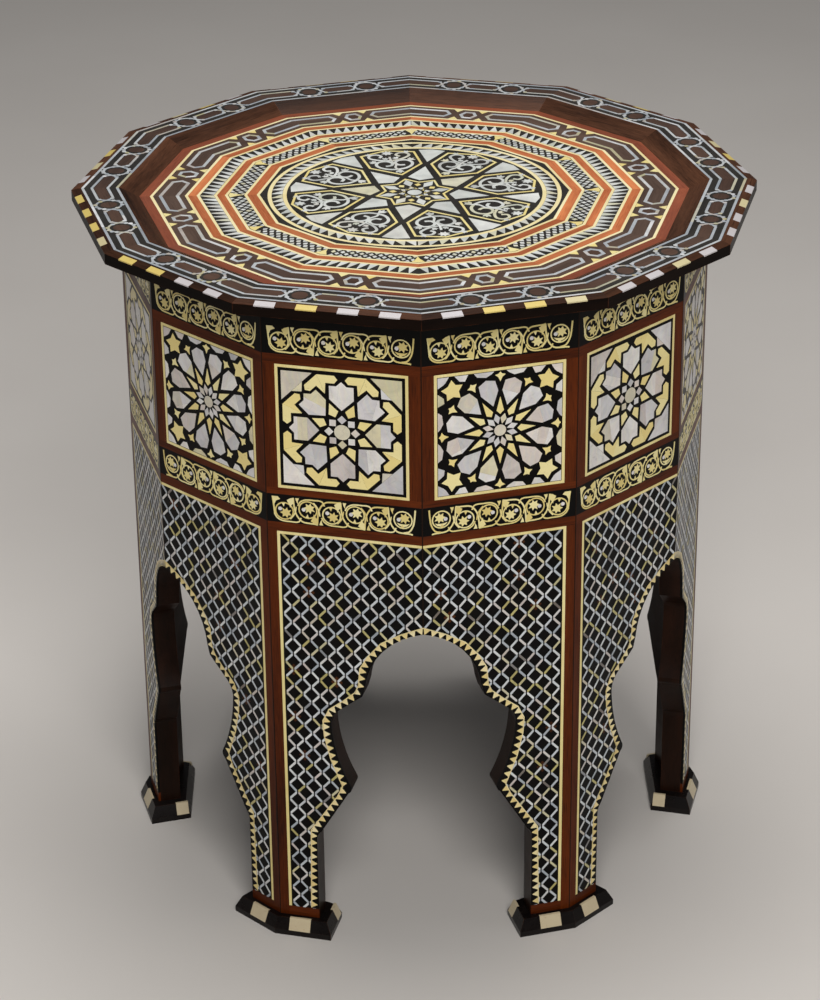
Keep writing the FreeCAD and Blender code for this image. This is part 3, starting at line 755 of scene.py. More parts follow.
def tone_tiles(piece, draw, low, high):
    """Gives each tile of a piece its own tone, drawn in the order of its faces."""
    numbers = tile_numbers_of(piece)
    tones = {number: draw.uniform(low, high) for number in dict.fromkeys(numbers)}
    marks = piece.data.attributes.new("tone", "FLOAT", "FACE")
    marks.data.foreach_set("value", [tones[number] for number in numbers])


def inlay(name, pattern, places, finish, low=0.0, high=1.0):
    """Copies a pattern of tiles to all its places, tones each tile by itself and makes one piece of them."""
    draw = random.Random(name)
    copies = []
    for place in places:
        other = copy_of(pattern, place)
        tone_tiles(other, draw, low, high)
        copies.append(other)
    remove(pattern)
    whole = joined(copies)
    edit_all(whole)
    bpy.ops.mesh.normals_make_consistent(inside=False)
    bpy.ops.object.mode_set(mode="OBJECT")
    whole.data.attributes.remove(whole.data.attributes["tile"])
    name_piece(whole, name, finish)
    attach(whole, "root")


def to_side(number):
    """The turn from the front to the middle of a side, counted counterclockwise from above."""
    return clockwise(-SIDE_TURN * (number + 0.5))


def on_side(number, up=0.0):
    """Stands a flat pattern on a side's face, its own up at a level above the floor."""
    return to_side(number) @ shift(0, -FACE, up) @ Matrix.Rotation(math.radians(90), 4, "X")


def on_top(number, up):
    """Lays a flat pattern on the table at a level, turned to a side."""
    return shift(0, 0, up) @ to_side(number)


EVEN_SIDES = range(0, SIDES, 2)
ODD_SIDES = range(1, SIDES, 2)
ALL_SIDES = range(SIDES)

# Star panels: the level of their middle, the turns between their axes, and half the gap of a cut
STAR_MIDDLE = (level("star_panels_eightfold", 0) + level("star_panels_eightfold", 1)) / 2
EIGHTH = 45.0
TWELFTH = 30.0
CUT_HALF = 0.03


def cut(outline, turn, place):
    """The two parts of an outline on either side of a line, by its turn and its distance from the origin."""
    across, up = spoke(1, turn)
    parts = []
    for hand in (1, -1):
        part = []
        for (x, y), (next_x, next_y) in zip(outline, outline[1:] + outline[:1]):
            here = (x * across + y * up - place) * hand - CUT_HALF
            there = (next_x * across + next_y * up - place) * hand - CUT_HALF
            if here >= 0:
                part.append((x, y))
            if here * there < 0:
                share = here / (here - there)
                part.append((x + (next_x - x) * share, y + (next_y - y) * share))
        parts.append(part)
    return parts


def kite(far, wide, half_turn, near, axis=0.0):
    """A kite on an axis through the origin: its far point, its two wide points and its near one."""
    return [spoke(far, axis), spoke(wide, axis + half_turn),
            spoke(near, axis), spoke(wide, axis - half_turn)]


def petals(outline, turn, cuts):
    """A ring of petals, each in one piece or cut along the lines given for it."""
    pieces = []
    for number, lines in enumerate(cuts):
        parts = [outline]
        for line in lines:
            parts = [part for whole in parts for part in cut(whole, *line) if len(part) > 2]
        for part in parts:
            pieces.append(tile(turned(part, turn + 360 * number / len(cuts))))
    return pieces


def eightfold_shell():
    """Shell of the eightfold star: diamonds, petals of one to three pieces, and corner pieces."""
    petal = both_hands([(0, 43), (4.2, 39), (9.9, 39), (9.9, 27.8), (0, 18.6)])
    pieces = around(tile([(0, 14.4), (3.7, 10.7), (0, 7.0), (-3.7, 10.7)]), 8)
    pieces += petals(petal, 0, ([], [(60, 20)], [(0, 31)], [(-50, 18)], [], [(35, 27)], [(0, 36), (0, 28)],
                                [(70, 12), (70, 4)]))
    for corner in range(4):
        turn = 90 * corner
        pieces.append(tile(turned([(48.5, 48.5), (48.5, 23.5), (23.5, 48.5)], turn)))
        pieces.append(tile(turned([(40.2, 31.6), (32, 32), (31.6, 40.2)], turn)))
    return joined(pieces)


def eightfold_wood():
    """Yellow wood of the eightfold star: kites and barbed brackets."""
    axis = EIGHTH / 2
    half = [spoke(34.7, axis - 0.1), (12.7, 41.2), (5.6, 41.2), (3.0, 44.5), (5.6, 47.8),
            spoke(51.7, axis - 0.06)]
    pieces = []
    for outline in (kite(26, 18, 13.5, 13.6, axis), half, mirrored_about(half, axis)):
        pieces += around(tile(outline), 8)
    return joined(pieces)


def twelvefold_shell():
    """Shell of the twelvefold star: slim diamonds, petals of one to three pieces, and border pieces."""
    slim = [(0, 14.8), (2.6, 10.4), (0, 5.6), (-2.6, 10.4)]
    petal = [spoke(45.2, 0), spoke(42.8, 9.3), spoke(34.4, 12.2), spoke(21.8, 0), spoke(34.4, -12.2),
             spoke(42.8, -9.3)]
    pieces = around(tile(slim), 12, TWELFTH / 2)
    pieces += petals(petal, TWELFTH / 2, (
        [(8, 33)], [], [(0, 35)], [(-4, 32), (0, 40)], [(0, 34)], [], [(6, 38)], [], [(0, 34), (80, 2)], [],
        [(-10, 31)], []))
    long_edge = [(5.0, 50.6), (21.5, 50.6), (18.8, 47.2), (11.5, 46.2), (7.0, 48.6)]
    short_edge = [(26, 50.6), (37, 50.6), (33, 45.8), (28.6, 45.2)]
    for edge in (long_edge, short_edge):
        master = tile(edge)
        pieces += around(mirror_of(master), 4)
        pieces += around(master, 4)
    pieces += around(tile([(41.5, 50.6), (50.6, 50.6), (50.6, 41.5), (46, 44.3), (44.3, 46)]), 4)
    return joined(pieces)


def twelvefold_wood():
    """Yellow wood of the twelvefold star: kites, small stars round it and large ones in the corners."""
    slim_kite = [(0, 29), (3, 17), (0, 14), (-3, 17)]
    small_star = both_hands([(0, 50), (1.4, 48.4), (4.3, 47.5), (1.7, 45.4), (0, 41.7)])
    pieces = around(tile(slim_kite), 12)
    pieces += around(tile(small_star), 4)
    near = moved(small_star, 0, -1.6)
    pieces += around(tile(near), 4, TWELFTH) + around(tile(near), 4, 2 * TWELFTH)
    points = []
    for tip, valley in ((40, 73.5), (107, 143.5), (180, 216.5), (253, 286.5), (320, 360)):
        points += [spoke(9.2, tip), spoke(5.3, valley)]
    corner_star = moved(points, 0, 54.7)
    pieces += around(tile(corner_star), 4, EIGHTH)
    return joined(pieces)


star_of_eight_places = [on_side(number, STAR_MIDDLE) for number in ODD_SIDES]
star_of_twelve_places = [on_side(number, STAR_MIDDLE) for number in EVEN_SIDES]
inlay("eightfold_star_disc", disc(6.5, 20), star_of_eight_places, disc_shell)
inlay("twelvefold_star_disc", disc(4.9, 16), star_of_twelve_places, panel_shell, 0.85, 0.95)
inlay("eightfold_star_shell", eightfold_shell(), star_of_eight_places, panel_shell)
inlay("eightfold_star_wood", eightfold_wood(), star_of_eight_places, star_wood)
inlay("twelvefold_star_shell", twelvefold_shell(), star_of_twelve_places, panel_shell)
inlay("twelvefold_star_wood", twelvefold_wood(), star_of_twelve_places, star_wood)

# Friezes: a wave of roundels with a palmette in each
ROUNDEL_PITCH = 19.4
UPPER_SCROLL = 548.4
LOWER_SCROLL = 401.7
RING_DROP = -1.4
roundels = [((number - 2.5) * ROUNDEL_PITCH, 1 - 2 * (number % 2)) for number in range(6)]

# The scroll about one roundel: stems, loops and leaves
STEM = [(-12.3, -10.9), (-11.9, -5), (-11.2, 0), (-9.3, 5), (-5.3, 9.4), (0, 10.3), (4.5, 10.4), (7.4, 10.9)]
FIRST_STEM = [(-10, 10.9), (-9.4, 6), (-8.9, 1), (-8.4, -4.4)]
LAST_STEM = [(0, -9.9), (4.5, -8.6), (7.6, -3.6), (8.8, 2), (9.6, 10.9)]
LOOP = [(-8.6, -4.2), (-6.8, -7.6), (-3.4, -9.8), (0.4, -10.4), (4.8, -10.4), (9.1, -10.5), (11.8, -9.4),
        (13.2, -6.2)]
BRIDGE = [(4.2, -8.2), (6.8, -5.2), (8.6, -1.4), (9.4, 3.2)]
CORNER_LEAF = [(1.8, 8.4), (4.6, 10.2), (7.4, 10.8), (6.9, 5.6), (5.6, 4.4), (4.4, 1.8), (3.8, 4.6),
               (2.6, 6.4)]
LEAF_TIP = [(-2.6, 5.6), (0.4, 5.8), (-0.8, 2.4)]
FLAME = [(8.8, 10.9), (9.3, 8.6), (10.9, 5.5), (10.8, 8.2), (11.9, 10.9)]
CRESCENT = [(-5.6, 1.4), (-2.8, 2.2), (0, 2.4), (2.8, 2.2), (5, 1.4), (3, 3.8), (0, 4.9), (-3.4, 3.8)]
END_LEAF = [(-10.2, 10.9), (-5.6, 10.9), (-3.6, 8.8), (-7, 7.2), (-8.8, 3.4)]
STEM_WIDTH = 1.3
LOOP_WIDTH = 1.2
BRIDGE_WIDTH = 1.0


def palmette(size):
    """A vine leaf of seven pointed lobes."""
    half = [(0, 1.15), (0.28, 0.56), (0.9, 0.82), (0.62, 0.18), (1.12, -0.24), (0.52, -0.4), (0.46, -1.0),
            (0, -0.62)]
    return both_hands([(across * size, up * size) for across, up in half])


def stalk(points, width):
    """The outline of a curved strip through points."""
    return ribbon(smooth(points), width)


def frieze_scroll():
    """Yellow scroll: a stem that waves over and under rings, with leaves in its bends and palmettes."""
    pieces = at_places(ring(7.9, 1.1, 20), [(x - 0.4, hand * RING_DROP) for x, hand in roundels])
    leaf = moved(turned(palmette(4.3), 12), 0.8, -2.9)
    for number, (x, hand) in enumerate(roundels):
        shapes = [(leaf, 1.0), (LEAF_TIP, 1.4)]
        if number > 0:
            shapes.append((stalk(STEM, STEM_WIDTH), 1.2))
        if number < len(roundels) - 1:
            shapes += [(CORNER_LEAF, 1.3), (stalk(LOOP, LOOP_WIDTH), 1.5),
                       (stalk(BRIDGE, BRIDGE_WIDTH), 1.6), (FLAME, 1.0)]
        else:
            shapes.append((CRESCENT, 1.1))
        for outline, height in shapes:
            pieces.append(tile([(across + x, up * hand) for across, up in outline], PROUD * height))
    first, last = roundels[0][0], roundels[-1][0]
    pieces.append(tile(moved(stalk(FIRST_STEM, STEM_WIDTH), first, 0), PROUD * 1.2))
    pieces.append(tile(moved(END_LEAF, first, 0), PROUD * 1.3))
    pieces.append(tile(moved(stalk(LAST_STEM, STEM_WIDTH), last, 0), PROUD * 1.5))
    return joined(pieces)


def frieze_dots():
    """Shell dots beside the palmettes."""
    places = [(x - 3.9, 0.9 - 0.5 * hand) for x, hand in roundels]
    return joined(at_places(disc(1.7, 8, PROUD * 1.8), places))


frieze_places = [on_side(number, UPPER_SCROLL) for number in ALL_SIDES]
frieze_places += [on_side(number, LOWER_SCROLL) for number in ODD_SIDES]
frieze_places += [on_side(number, LOWER_SCROLL) @ LEFT_TO_RIGHT for number in EVEN_SIDES]
inlay("frieze_scroll_wood", frieze_scroll(), frieze_places, scroll_wood)
inlay("frieze_shell_dots", frieze_dots(), frieze_places, panel_shell, 0.2, 0.6)

# Lattice of shell zigzags on the lower sides, measured from the corner between two sides over an arch
LATTICE_LOW = level("lattice_panels", 0)
LATTICE_TOP = level("lattice_panels", 1)
POST_AND_STRING = 10.4
LEG_EDGE = HALF_SIDE * 2 - POST_AND_STRING
ZIGZAG_PITCH = 7.23
ZIGZAG_RISE = 7.325
ZIGZAG_REACH = 3.05
ZIGZAG_INNER = 1.95
ZIGZAG_HALF = 3.56
ZIGZAG_FLAT = 1.93
LATTICE_START = 4.0
CROWN_CUT = 1.0

# How near the arch and how far from its border the middle of a kept tile may lie, and the slack and the cut
# at the panel's edges
NEAR_ARCH = 4.2
NEAR_BORDER = 3.2
EDGE_SLACK = 0.2
EDGE_CUT = 0.1

# Outline of half an arch, as shares of its half width and height
ARCH_HALF_WIDTH = 93.04
ARCH_HEIGHT = 287.06
ARCH_FOOT = 15.0
ARCH_CORNERS = (
    (0, 1), (0.527, 0.808), (0.5535, 0.777), (0.752, 0.7265), (0.8416, 0.6725),
    (0.673, 0.4704), (0.6965, 0.4477), (0.957, 0.3049), (1, 0.2753),
)
ARCH_BENDS = {0: (0.68, 1), 3: (0.1935, 1), 4: (1.505, 1), 5: (0.0537, -1), 7: (0.129, 1)}
BEND_STEPS = 8

# Where the toothed border of the arch starts on the lattice, from the crown to the foot
BORDER_LINE = (
    (0, 308), (18.8, 299.3), (35.2, 289.4), (47, 274.9), (53.1, 263.7), (54.6, 247.8), (57.5, 241),
    (67.7, 231.7), (80, 222), (85.3, 210.8), (84.4, 196.2), (79.6, 175.2), (72.8, 157.1), (69.9, 149.5),
    (74.4, 139.3), (89, 116.6), (98, 102.7), (99.5, 24.8),
)
TOOTH_PITCH = 7.0
TOOTH_GAP_SHARE = 0.06
TOOTH_REACH = 5.0
TOOTH_BLUNT = 0.3
TOOTH_LINE = 0.9
BORDER_PROUD = PROUD * 1.6
TOOTH_PROUD = PROUD * 2.4
ARCH_GAP = 0.02

# Lattice cells filled with brown wood instead of black: how many a side, and their half sizes
BROWN_CELLS = 7
CELL_SEED = 5
CELL_CLEAR = 7.0
CELL_ACROSS = 5.1
CELL_UP = 5.4


def arch_outline():
    """Half of the arch from its crown to the foot of the leg, from the corner between two sides."""
    corners = [(width * ARCH_HALF_WIDTH, ARCH_FOOT + height * ARCH_HEIGHT) for width, height in ARCH_CORNERS]
    line = []
    for number, start in enumerate(corners[:-1]):
        end = corners[number + 1]
        line.append(start)
        if number in ARCH_BENDS:
            share, bulge = ARCH_BENDS[number]
            radius = share * ARCH_HALF_WIDTH
            run = (end[0] - start[0], end[1] - start[1])
            chord = math.hypot(*run)
            depth = math.sqrt(radius ** 2 - chord ** 2 / 4) * bulge
            middle_x = (start[0] + end[0]) / 2 + run[1] / chord * depth
            middle_y = (start[1] + end[1]) / 2 - run[0] / chord * depth
            first = math.atan2(start[1] - middle_y, start[0] - middle_x)
            sweep = 2 * math.asin(chord / 2 / radius) * -bulge
            for step in range(1, BEND_STEPS):
                angle = first + sweep * step / BEND_STEPS
                line.append((middle_x + radius * math.cos(angle), middle_y + radius * math.sin(angle)))
    line.append(corners[-1])
    line.append((corners[-1][0], LATTICE_LOW))
    return line


def distance_to(line, x, y):
    """Shortest distance from a point to a line of points."""
    best = 1e9
    for (ax, ay), (bx, by) in zip(line, line[1:]):
        run = (bx - ax, by - ay)
        share = ((x - ax) * run[0] + (y - ay) * run[1]) / (run[0] ** 2 + run[1] ** 2)
        share = min(max(share, 0), 1)
        best = min(best, math.hypot(x - ax - run[0] * share, y - ay - run[1] * share))
    return best


def is_inside(outline, x, y):
    """Whether a point is inside a closed outline."""
    inside = False
    for (ax, ay), (bx, by) in zip(outline, outline[1:] + outline[:1]):
        if (ay > y) != (by > y) and x < ax + (y - ay) / (by - ay) * (bx - ax):
            inside = not inside
    return inside


arch_line = arch_outline()
border_field = list(BORDER_LINE) + [(LEG_EDGE, LATTICE_LOW), (LEG_EDGE, LATTICE_TOP), (0, LATTICE_TOP)]


def zigzag_tile():
    """One sloping step of a zigzag: a straight strip, upright at its tips and mitred level."""
    middle = ZIGZAG_RISE / 2
    upper = [(-ZIGZAG_REACH, -ZIGZAG_FLAT), (ZIGZAG_INNER, ZIGZAG_HALF), (ZIGZAG_REACH, ZIGZAG_HALF)]
    lower = [(-x, -y) for x, y in upper]
    return tile(moved(upper + lower, 0, middle))


def repeat(piece, count, step):
    """Repeats a piece along a direction, with an Array modifier that is applied."""
    select_only(piece)
    array = piece.modifiers.new("rows", "ARRAY")
    array.count = count
    array.use_relative_offset = False
    array.use_constant_offset = True
    array.constant_offset_displace = [part * MM for part in step]
    bpy.ops.object.modifier_apply(modifier=array.name)
    return piece


def lattice_pattern():
    """A whole sheet of zigzag tiles for a side whose arch corner is at its left."""
    rising = zigzag_tile()
    falling = mirror_of(rising)
    falling.data.transform(shift(0, ZIGZAG_RISE))
    step = joined([rising, falling])
    rows = math.ceil((LATTICE_TOP + CROWN_CUT - LATTICE_LOW) / ZIGZAG_RISE / 2)
    low = LATTICE_TOP + CROWN_CUT - rows * 2 * ZIGZAG_RISE
    column = repeat(step, rows, (0, ZIGZAG_RISE * 2, 0))
    neighbour = copy_of(column, shift(ZIGZAG_PITCH, 0) @ LEFT_TO_RIGHT)
    pair = joined([column, neighbour])
    columns = math.ceil(LEG_EDGE / ZIGZAG_PITCH / 2)
    sheet = repeat(pair, columns, (ZIGZAG_PITCH * 2, 0, 0))
    sheet.data.transform(shift(LATTICE_START, low))
    return sheet


def is_kept(xs, ys):
    """Whether a lattice tile lies on the panel and clear of the arch, from the places of its points."""
    if max(xs) > LEG_EDGE + EDGE_SLACK or min(ys) > LATTICE_TOP or max(ys) < LATTICE_LOW:
        return False
    x, y = sum(xs) / len(xs), sum(ys) / len(ys)
    if is_inside(border_field, x, y):
        return True
    return distance_to(arch_line, x, y) >= NEAR_ARCH and distance_to(BORDER_LINE, x, y) <= NEAR_BORDER


def keep_lattice(sheet):
    """Numbers the zigzag tiles one by one and deletes those that lie over the arch or off the panel."""
    faces_each = 8
    mesh = sheet.data
    count = len(mesh.polygons) // faces_each
    numbers = [face // faces_each for face in range(count * faces_each)]
    mesh.attributes["tile"].data.foreach_set("value", numbers)
    gone = set()
    for number in range(count):
        faces = mesh.polygons[number * faces_each:(number + 1) * faces_each]
        points = {point for face in faces for point in face.vertices}
        xs = [mesh.vertices[point].co.x / MM for point in points]
        ys = [mesh.vertices[point].co.y / MM for point in points]
        if not is_kept(xs, ys):
            gone |= points
    edit_all(sheet)
    bpy.ops.mesh.select_all(action="DESELECT")
    bpy.ops.object.mode_set(mode="OBJECT")
    for point in gone:
        mesh.vertices[point].select = True
    bpy.ops.object.mode_set(mode="EDIT")
    bpy.ops.mesh.delete(type="VERT")
    for up, hand in ((LATTICE_TOP - EDGE_CUT, 1), (LATTICE_LOW + EDGE_CUT, -1)):
        bpy.ops.mesh.select_all(action="SELECT")
        bpy.ops.mesh.bisect(plane_co=(0, up * MM, 0), plane_no=(0, hand, 0), use_fill=True, clear_outer=True)
    bpy.ops.object.mode_set(mode="OBJECT")
    return sheet


def cell_places():
    """Middles of the lattice cells that lie clear of the arch, from the corner between two sides."""
    places = []
    for column in range(int(LEG_EDGE / ZIGZAG_PITCH) - 1):
        x = LATTICE_START + (column + 0.5) * ZIGZAG_PITCH
        first = LATTICE_TOP + CROWN_CUT - ZIGZAG_RISE * (1 + column % 2)
        for row in range(int((LATTICE_TOP - LATTICE_LOW) / ZIGZAG_RISE / 2) - 1):
            y = first - row * 2 * ZIGZAG_RISE
            if is_inside(border_field, x, y) and distance_to(BORDER_LINE, x, y) > CELL_CLEAR:
                places.append((x, y))
    return places


def evenly(line, pitch):
    """Points at an even pitch along a line, as near the pitch as its length allows."""
    lengths = [math.dist(start, end) for start, end in zip(line, line[1:])]
    count = round(sum(lengths) / pitch)
    places = []
    for number in range(count + 1):
        left = sum(lengths) * number / count
        for (start, end), length in zip(zip(line, line[1:]), lengths):
            if left <= length + 1e-6:
                share = left / length
                places.append(tuple(a + (b - a) * share for a, b in zip(start, end)))
                break
            left -= length
    return places


def arch_border_ground():
    """The black strip between the lattice and the edge of the arch."""
    outline = [(x - ARCH_GAP, y) for x, y in arch_line] + list(reversed(BORDER_LINE))
    outline[0] = (0, outline[0][1])
    return tile(outline, BORDER_PROUD)


def arch_border_teeth():
    """A row of bone teeth along the border, their blunt tips towards the arch, on a bone line."""
    places = evenly(BORDER_LINE, TOOTH_PITCH)
    pieces = []
    for before, after in zip(places, places[1:]):
        run = (after[0] - before[0], after[1] - before[1])
        length = math.hypot(*run)
        start = (before[0] + run[0] * TOOTH_GAP_SHARE, before[1] + run[1] * TOOTH_GAP_SHARE)
        end = (after[0] - run[0] * TOOTH_GAP_SHARE, after[1] - run[1] * TOOTH_GAP_SHARE)
        tip = ((start[0] + end[0]) / 2 + run[1] / length * TOOTH_REACH,
               (start[1] + end[1]) / 2 - run[0] / length * TOOTH_REACH)
        blunt = (run[0] / length * TOOTH_BLUNT, run[1] / length * TOOTH_BLUNT)
        pieces.append(tile([start, end, (tip[0] + blunt[0], tip[1] + blunt[1]),
                            (tip[0] - blunt[0], tip[1] - blunt[1])], TOOTH_PROUD))
    pieces.append(tile(ribbon(BORDER_LINE, TOOTH_LINE), TOOTH_PROUD))
    return joined(pieces)


corner_at_left = shift(-HALF_SIDE, 0)
corner_at_right = LEFT_TO_RIGHT @ corner_at_left
even_places = [on_side(number) @ corner_at_left for number in EVEN_SIDES]
odd_places = [on_side(number) @ corner_at_right for number in ODD_SIDES]
arch_places = even_places + odd_places
cell_draw = random.Random(CELL_SEED)
brown_places = []
for side_place in arch_places:
    for across, up in cell_draw.sample(cell_places(), BROWN_CELLS):
        brown_places.append(side_place @ shift(across, up))
cell_shape = [(-CELL_ACROSS, 0), (0, CELL_UP), (CELL_ACROSS, 0), (0, -CELL_UP)]
inlay("lattice_shell_right", keep_lattice(lattice_pattern()), even_places, lattice_shell)
inlay("lattice_shell_left", keep_lattice(lattice_pattern()), odd_places, lattice_shell)
inlay("lattice_brown_cells", tile(cell_shape, PROUD * 0.3), brown_places, brown_cell)
inlay("arch_border_ground", arch_border_ground(), arch_places, ebony)
inlay("arch_border_teeth", arch_border_teeth(), arch_places, edge_bone)

# Dark filler in the mitres between the sides, above the arches and down the legs
MITRE_HALF = 0.5
MITRE_OVER_ARCH = 0.6
mitre_high = level("upper_frieze_panels", 1)
mitre_over_arch = ARCH_FOOT + ARCH_HEIGHT + MITRE_OVER_ARCH
mitre_lines = []
for across, mitre_low in ((0, mitre_over_arch), (HALF_SIDE * 2 - MITRE_HALF, level("leg_posts", 0))):
    mitre_lines.append(tile([(across, mitre_low), (across, mitre_high), (across + MITRE_HALF, mitre_high),
                             (across + MITRE_HALF, mitre_low)], PROUD * 0.4))
inlay("mitre_filler_lines", joined(mitre_lines), arch_places, mitre_filler)

# Levels and bands of the top
RIM_TOP = level("rim_veneers", 1)
FIELD_TOP = level("field_stringing", 1)
RIM_OUTER = outer_apothem("rim_veneers")
RIM_INNER = FACE - 0.9
RIM_MIDDLE = (RIM_OUTER + RIM_INNER) / 2

# Shell lines of the rim: their width, how far the outer and inner one lie from the veneer's edges, how far
# those of the cells lie from the rim's middle, and how a cell's line is broken in two lengths
LINE_WIDTH = 2.2
OUTER_LINE_IN = 0.3
INNER_LINE_OUT = 0.2
LINE_OUT = 6.4
LINE_PROUD = 0.03
LONG_CELL = 12
BREAK_CLEAR = 4

# Knots of the rim: the line of one half, how far a knot reaches along the rim, and its bulbs and middle
KNOT_REACH = 15.6
KNOT_LINE = [(-KNOT_REACH, 6.4), (-13.2, 4.2), (-10.7, 0), (-9.0, -4.8), (-5.6, -8.8), (0, -10.4)]
KNOT_WIDTH = 2.0
BULB_RADIUS = 1.95
BULBS = [(x, y) for x in (-14.0, -8.7, 8.7, 14.0) for y in (-5.4, 5.4)]
BULBS += [(-2.8, 10.9), (2.8, 10.7), (-2.4, -10.9), (2.8, -10.7), (-6.6, 8.9), (6.6, -8.9)]
knots_of_side = {number: (-27.0, 26.0) for number in ALL_SIDES}
knots_of_side[0] = (-28.0, 25.0)

# Brown cells of the rim: half their width, the length of their points, and the ovals in the knots
CELL_PROUD = 0.015
CELL_HALF = 4.7
CELL_POINT = 3.5
OVAL = [(6.4 * across, 7 * up) for across, up in (spoke(1, 30 * step) for step in range(12))]


def along(tangent, apothem):
    """A point on the top, by its place along a side and its distance from the table's axis."""
    return (tangent, -apothem)


def next_side(tangent, apothem):
    """The same for the side that follows, seen from this one."""
    return turned([along(tangent, apothem)], -SIDE_TURN)[0]


def strip_along(outer_ends, outer, inner_ends, inner):
    """A shell strip along one side of the rim, from the places of its ends on its outer and inner edge."""
    return tile([along(outer_ends[0], outer), along(outer_ends[1], outer),
                 along(inner_ends[1], inner), along(inner_ends[0], inner)], LINE_PROUD)


def rim_line(outer, breaks):
    """A shell line along one side of the rim, mitred at the corners and broken into a few lengths."""
    inner = outer - LINE_WIDTH
    ends = [-1.0, *breaks, 1.0]
    return [strip_along((start * outer * TAN, end * outer * TAN), outer,
                        (start * inner * TAN, end * inner * TAN), inner)
            for start, end in zip(ends, ends[1:])]


def knot_shell():
    """Two shell lines that cross, loop round and cross again, with a bulb at each end."""
    line = smooth(KNOT_LINE + [(-x, y) for x, y in reversed(KNOT_LINE[:-1])])
    pieces = [tile(ribbon(line, KNOT_WIDTH), LINE_PROUD * 1.6)]
    pieces.append(tile(ribbon([(x, -y) for x, y in line], KNOT_WIDTH), LINE_PROUD * 1.3))
    return pieces + at_places(disc(BULB_RADIUS, 7, LINE_PROUD * 2), BULBS)


def cell_edges(start, end, apothem, draw):
    """The shell line along one edge of a cell between two knots, in one or two lengths."""
    ends = [start, end]
    if end - start > LONG_CELL:
        ends.insert(1, draw.uniform(start + BREAK_CLEAR, end - BREAK_CLEAR))
    outer, inner = apothem + LINE_WIDTH / 2, apothem - LINE_WIDTH / 2
    return [strip_along(length, outer, length, inner) for length in zip(ends, ends[1:])]


def rim_shell(number):
    """Shell lines and knots of one side of the rim."""
    draw = random.Random(number)
    pieces = []
    for edge in (RIM_OUTER - OUTER_LINE_IN, RIM_INNER + LINE_WIDTH + INNER_LINE_OUT):
        pieces += rim_line(edge, [draw.uniform(-0.6, -0.1), draw.uniform(0.1, 0.6)])
    left, right = knots_of_side[number]
    for knot in (left, right):
        for piece in knot_shell():
            piece.data.transform(shift(knot, -RIM_MIDDLE))
            pieces.append(piece)
    for out in (LINE_OUT, -LINE_OUT):
        pieces += cell_edges(left + KNOT_REACH, right - KNOT_REACH, RIM_MIDDLE + out, draw)
    start = right + KNOT_REACH
    end = knots_of_side[(number + 1) % SIDES][0] - KNOT_REACH
    for out in (LINE_OUT, -LINE_OUT):
        outer = RIM_MIDDLE + out + LINE_WIDTH / 2
        inner = RIM_MIDDLE + out - LINE_WIDTH / 2
        pieces.append(strip_along((start, outer * TAN), outer, (start, inner * TAN), inner))
        pieces.append(tile([next_side(end, outer), next_side(-outer * TAN, outer),
                            next_side(-inner * TAN, inner), next_side(end, inner)], LINE_PROUD))
    return joined(pieces)


def rim_cells(number):
    """Dark brown cells between the shell lines of one side of the rim, and the ovals in its knots."""
    left, right = knots_of_side[number]
    middle = RIM_MIDDLE
    outer, inner = middle + CELL_HALF, middle - CELL_HALF
    start, end = left + KNOT_REACH - CELL_POINT, right - KNOT_REACH + CELL_POINT
    between_knots = [along(start, middle), along(start + CELL_POINT, outer), along(end - CELL_POINT, outer),
                     along(end, middle), along(end - CELL_POINT, inner), along(start + CELL_POINT, inner)]
    start = right + KNOT_REACH - CELL_POINT
    end = knots_of_side[(number + 1) % SIDES][0] - KNOT_REACH + CELL_POINT
    round_corner = [along(start, middle), along(start + CELL_POINT, outer), along(outer * TAN, outer),
                    next_side(end - CELL_POINT, outer), next_side(end, middle),
                    next_side(end - CELL_POINT, inner), along(inner * TAN, inner),
                    along(start + CELL_POINT, inner)]
    shapes = [between_knots, round_corner, moved(OVAL, left, -middle), moved(OVAL, right, -middle)]
    return joined([tile(shape, CELL_PROUD) for shape in shapes])


def whole_turn(name, make, up, finish):
    """An inlay whose sides differ: each is made for its own side and turned there."""
    sides = []
    for number in ALL_SIDES:
        piece = make(number)
        piece.data.transform(on_top(number, 0))
        sides.append(piece)
    inlay(name, joined(sides), [shift(0, 0, up)], finish)


whole_turn("rim_shell_lines", rim_shell, RIM_TOP, line_shell)
whole_turn("rim_walnut_cells", rim_cells, RIM_TOP, cell_walnut)

# Outer band of the field: hexagons and bent hexagons
BAND_OUTER = outer_apothem("outer_band_veneers")
BAND_WIDTH = 25.6
BAND_MIDDLE = BAND_OUTER - BAND_WIDTH / 2
HEXAGON_HALF = 8.2
HEXAGON_LINE = 2.8


def edges_of(outer, width, clear=0.2):
    """How far the pieces of a band reach: a hair inside its outer and its inner edge."""
    return outer - clear, outer - width + clear


def band_shell():
    """Shell lines of one small hexagon and of the bent one round the corner after it."""
    middle = BAND_MIDDLE
    outer, inner = middle + HEXAGON_HALF, middle - HEXAGON_HALF
    small = [along(-8.2, middle), along(-4.4, inner), along(4.4, inner), along(8.2, middle),
             along(4.4, outer), along(-4.4, outer)]
    bent = [along(15.1, middle), along(20, inner), along(inner * TAN, inner), next_side(-20, inner),
            next_side(-15.1, middle), next_side(-20, outer), along(outer * TAN, outer), along(20, outer)]
    return joined(strips_round(small, HEXAGON_LINE) + strips_round(bent, HEXAGON_LINE))


def band_triangles():
    """Yellow triangles in pairs on the stringing, at each crossing of the band."""
    outer, inner = edges_of(BAND_OUTER, BAND_WIDTH)
    pieces = []
    for middle in (-11.2, 11.2):
        for edge, tip in ((outer, outer - 6.3), (inner, inner + 6.3)):
            pieces.append(tile([along(middle - 4.2, edge), along(middle + 4.2, edge), along(middle, tip)]))
    return joined(pieces)


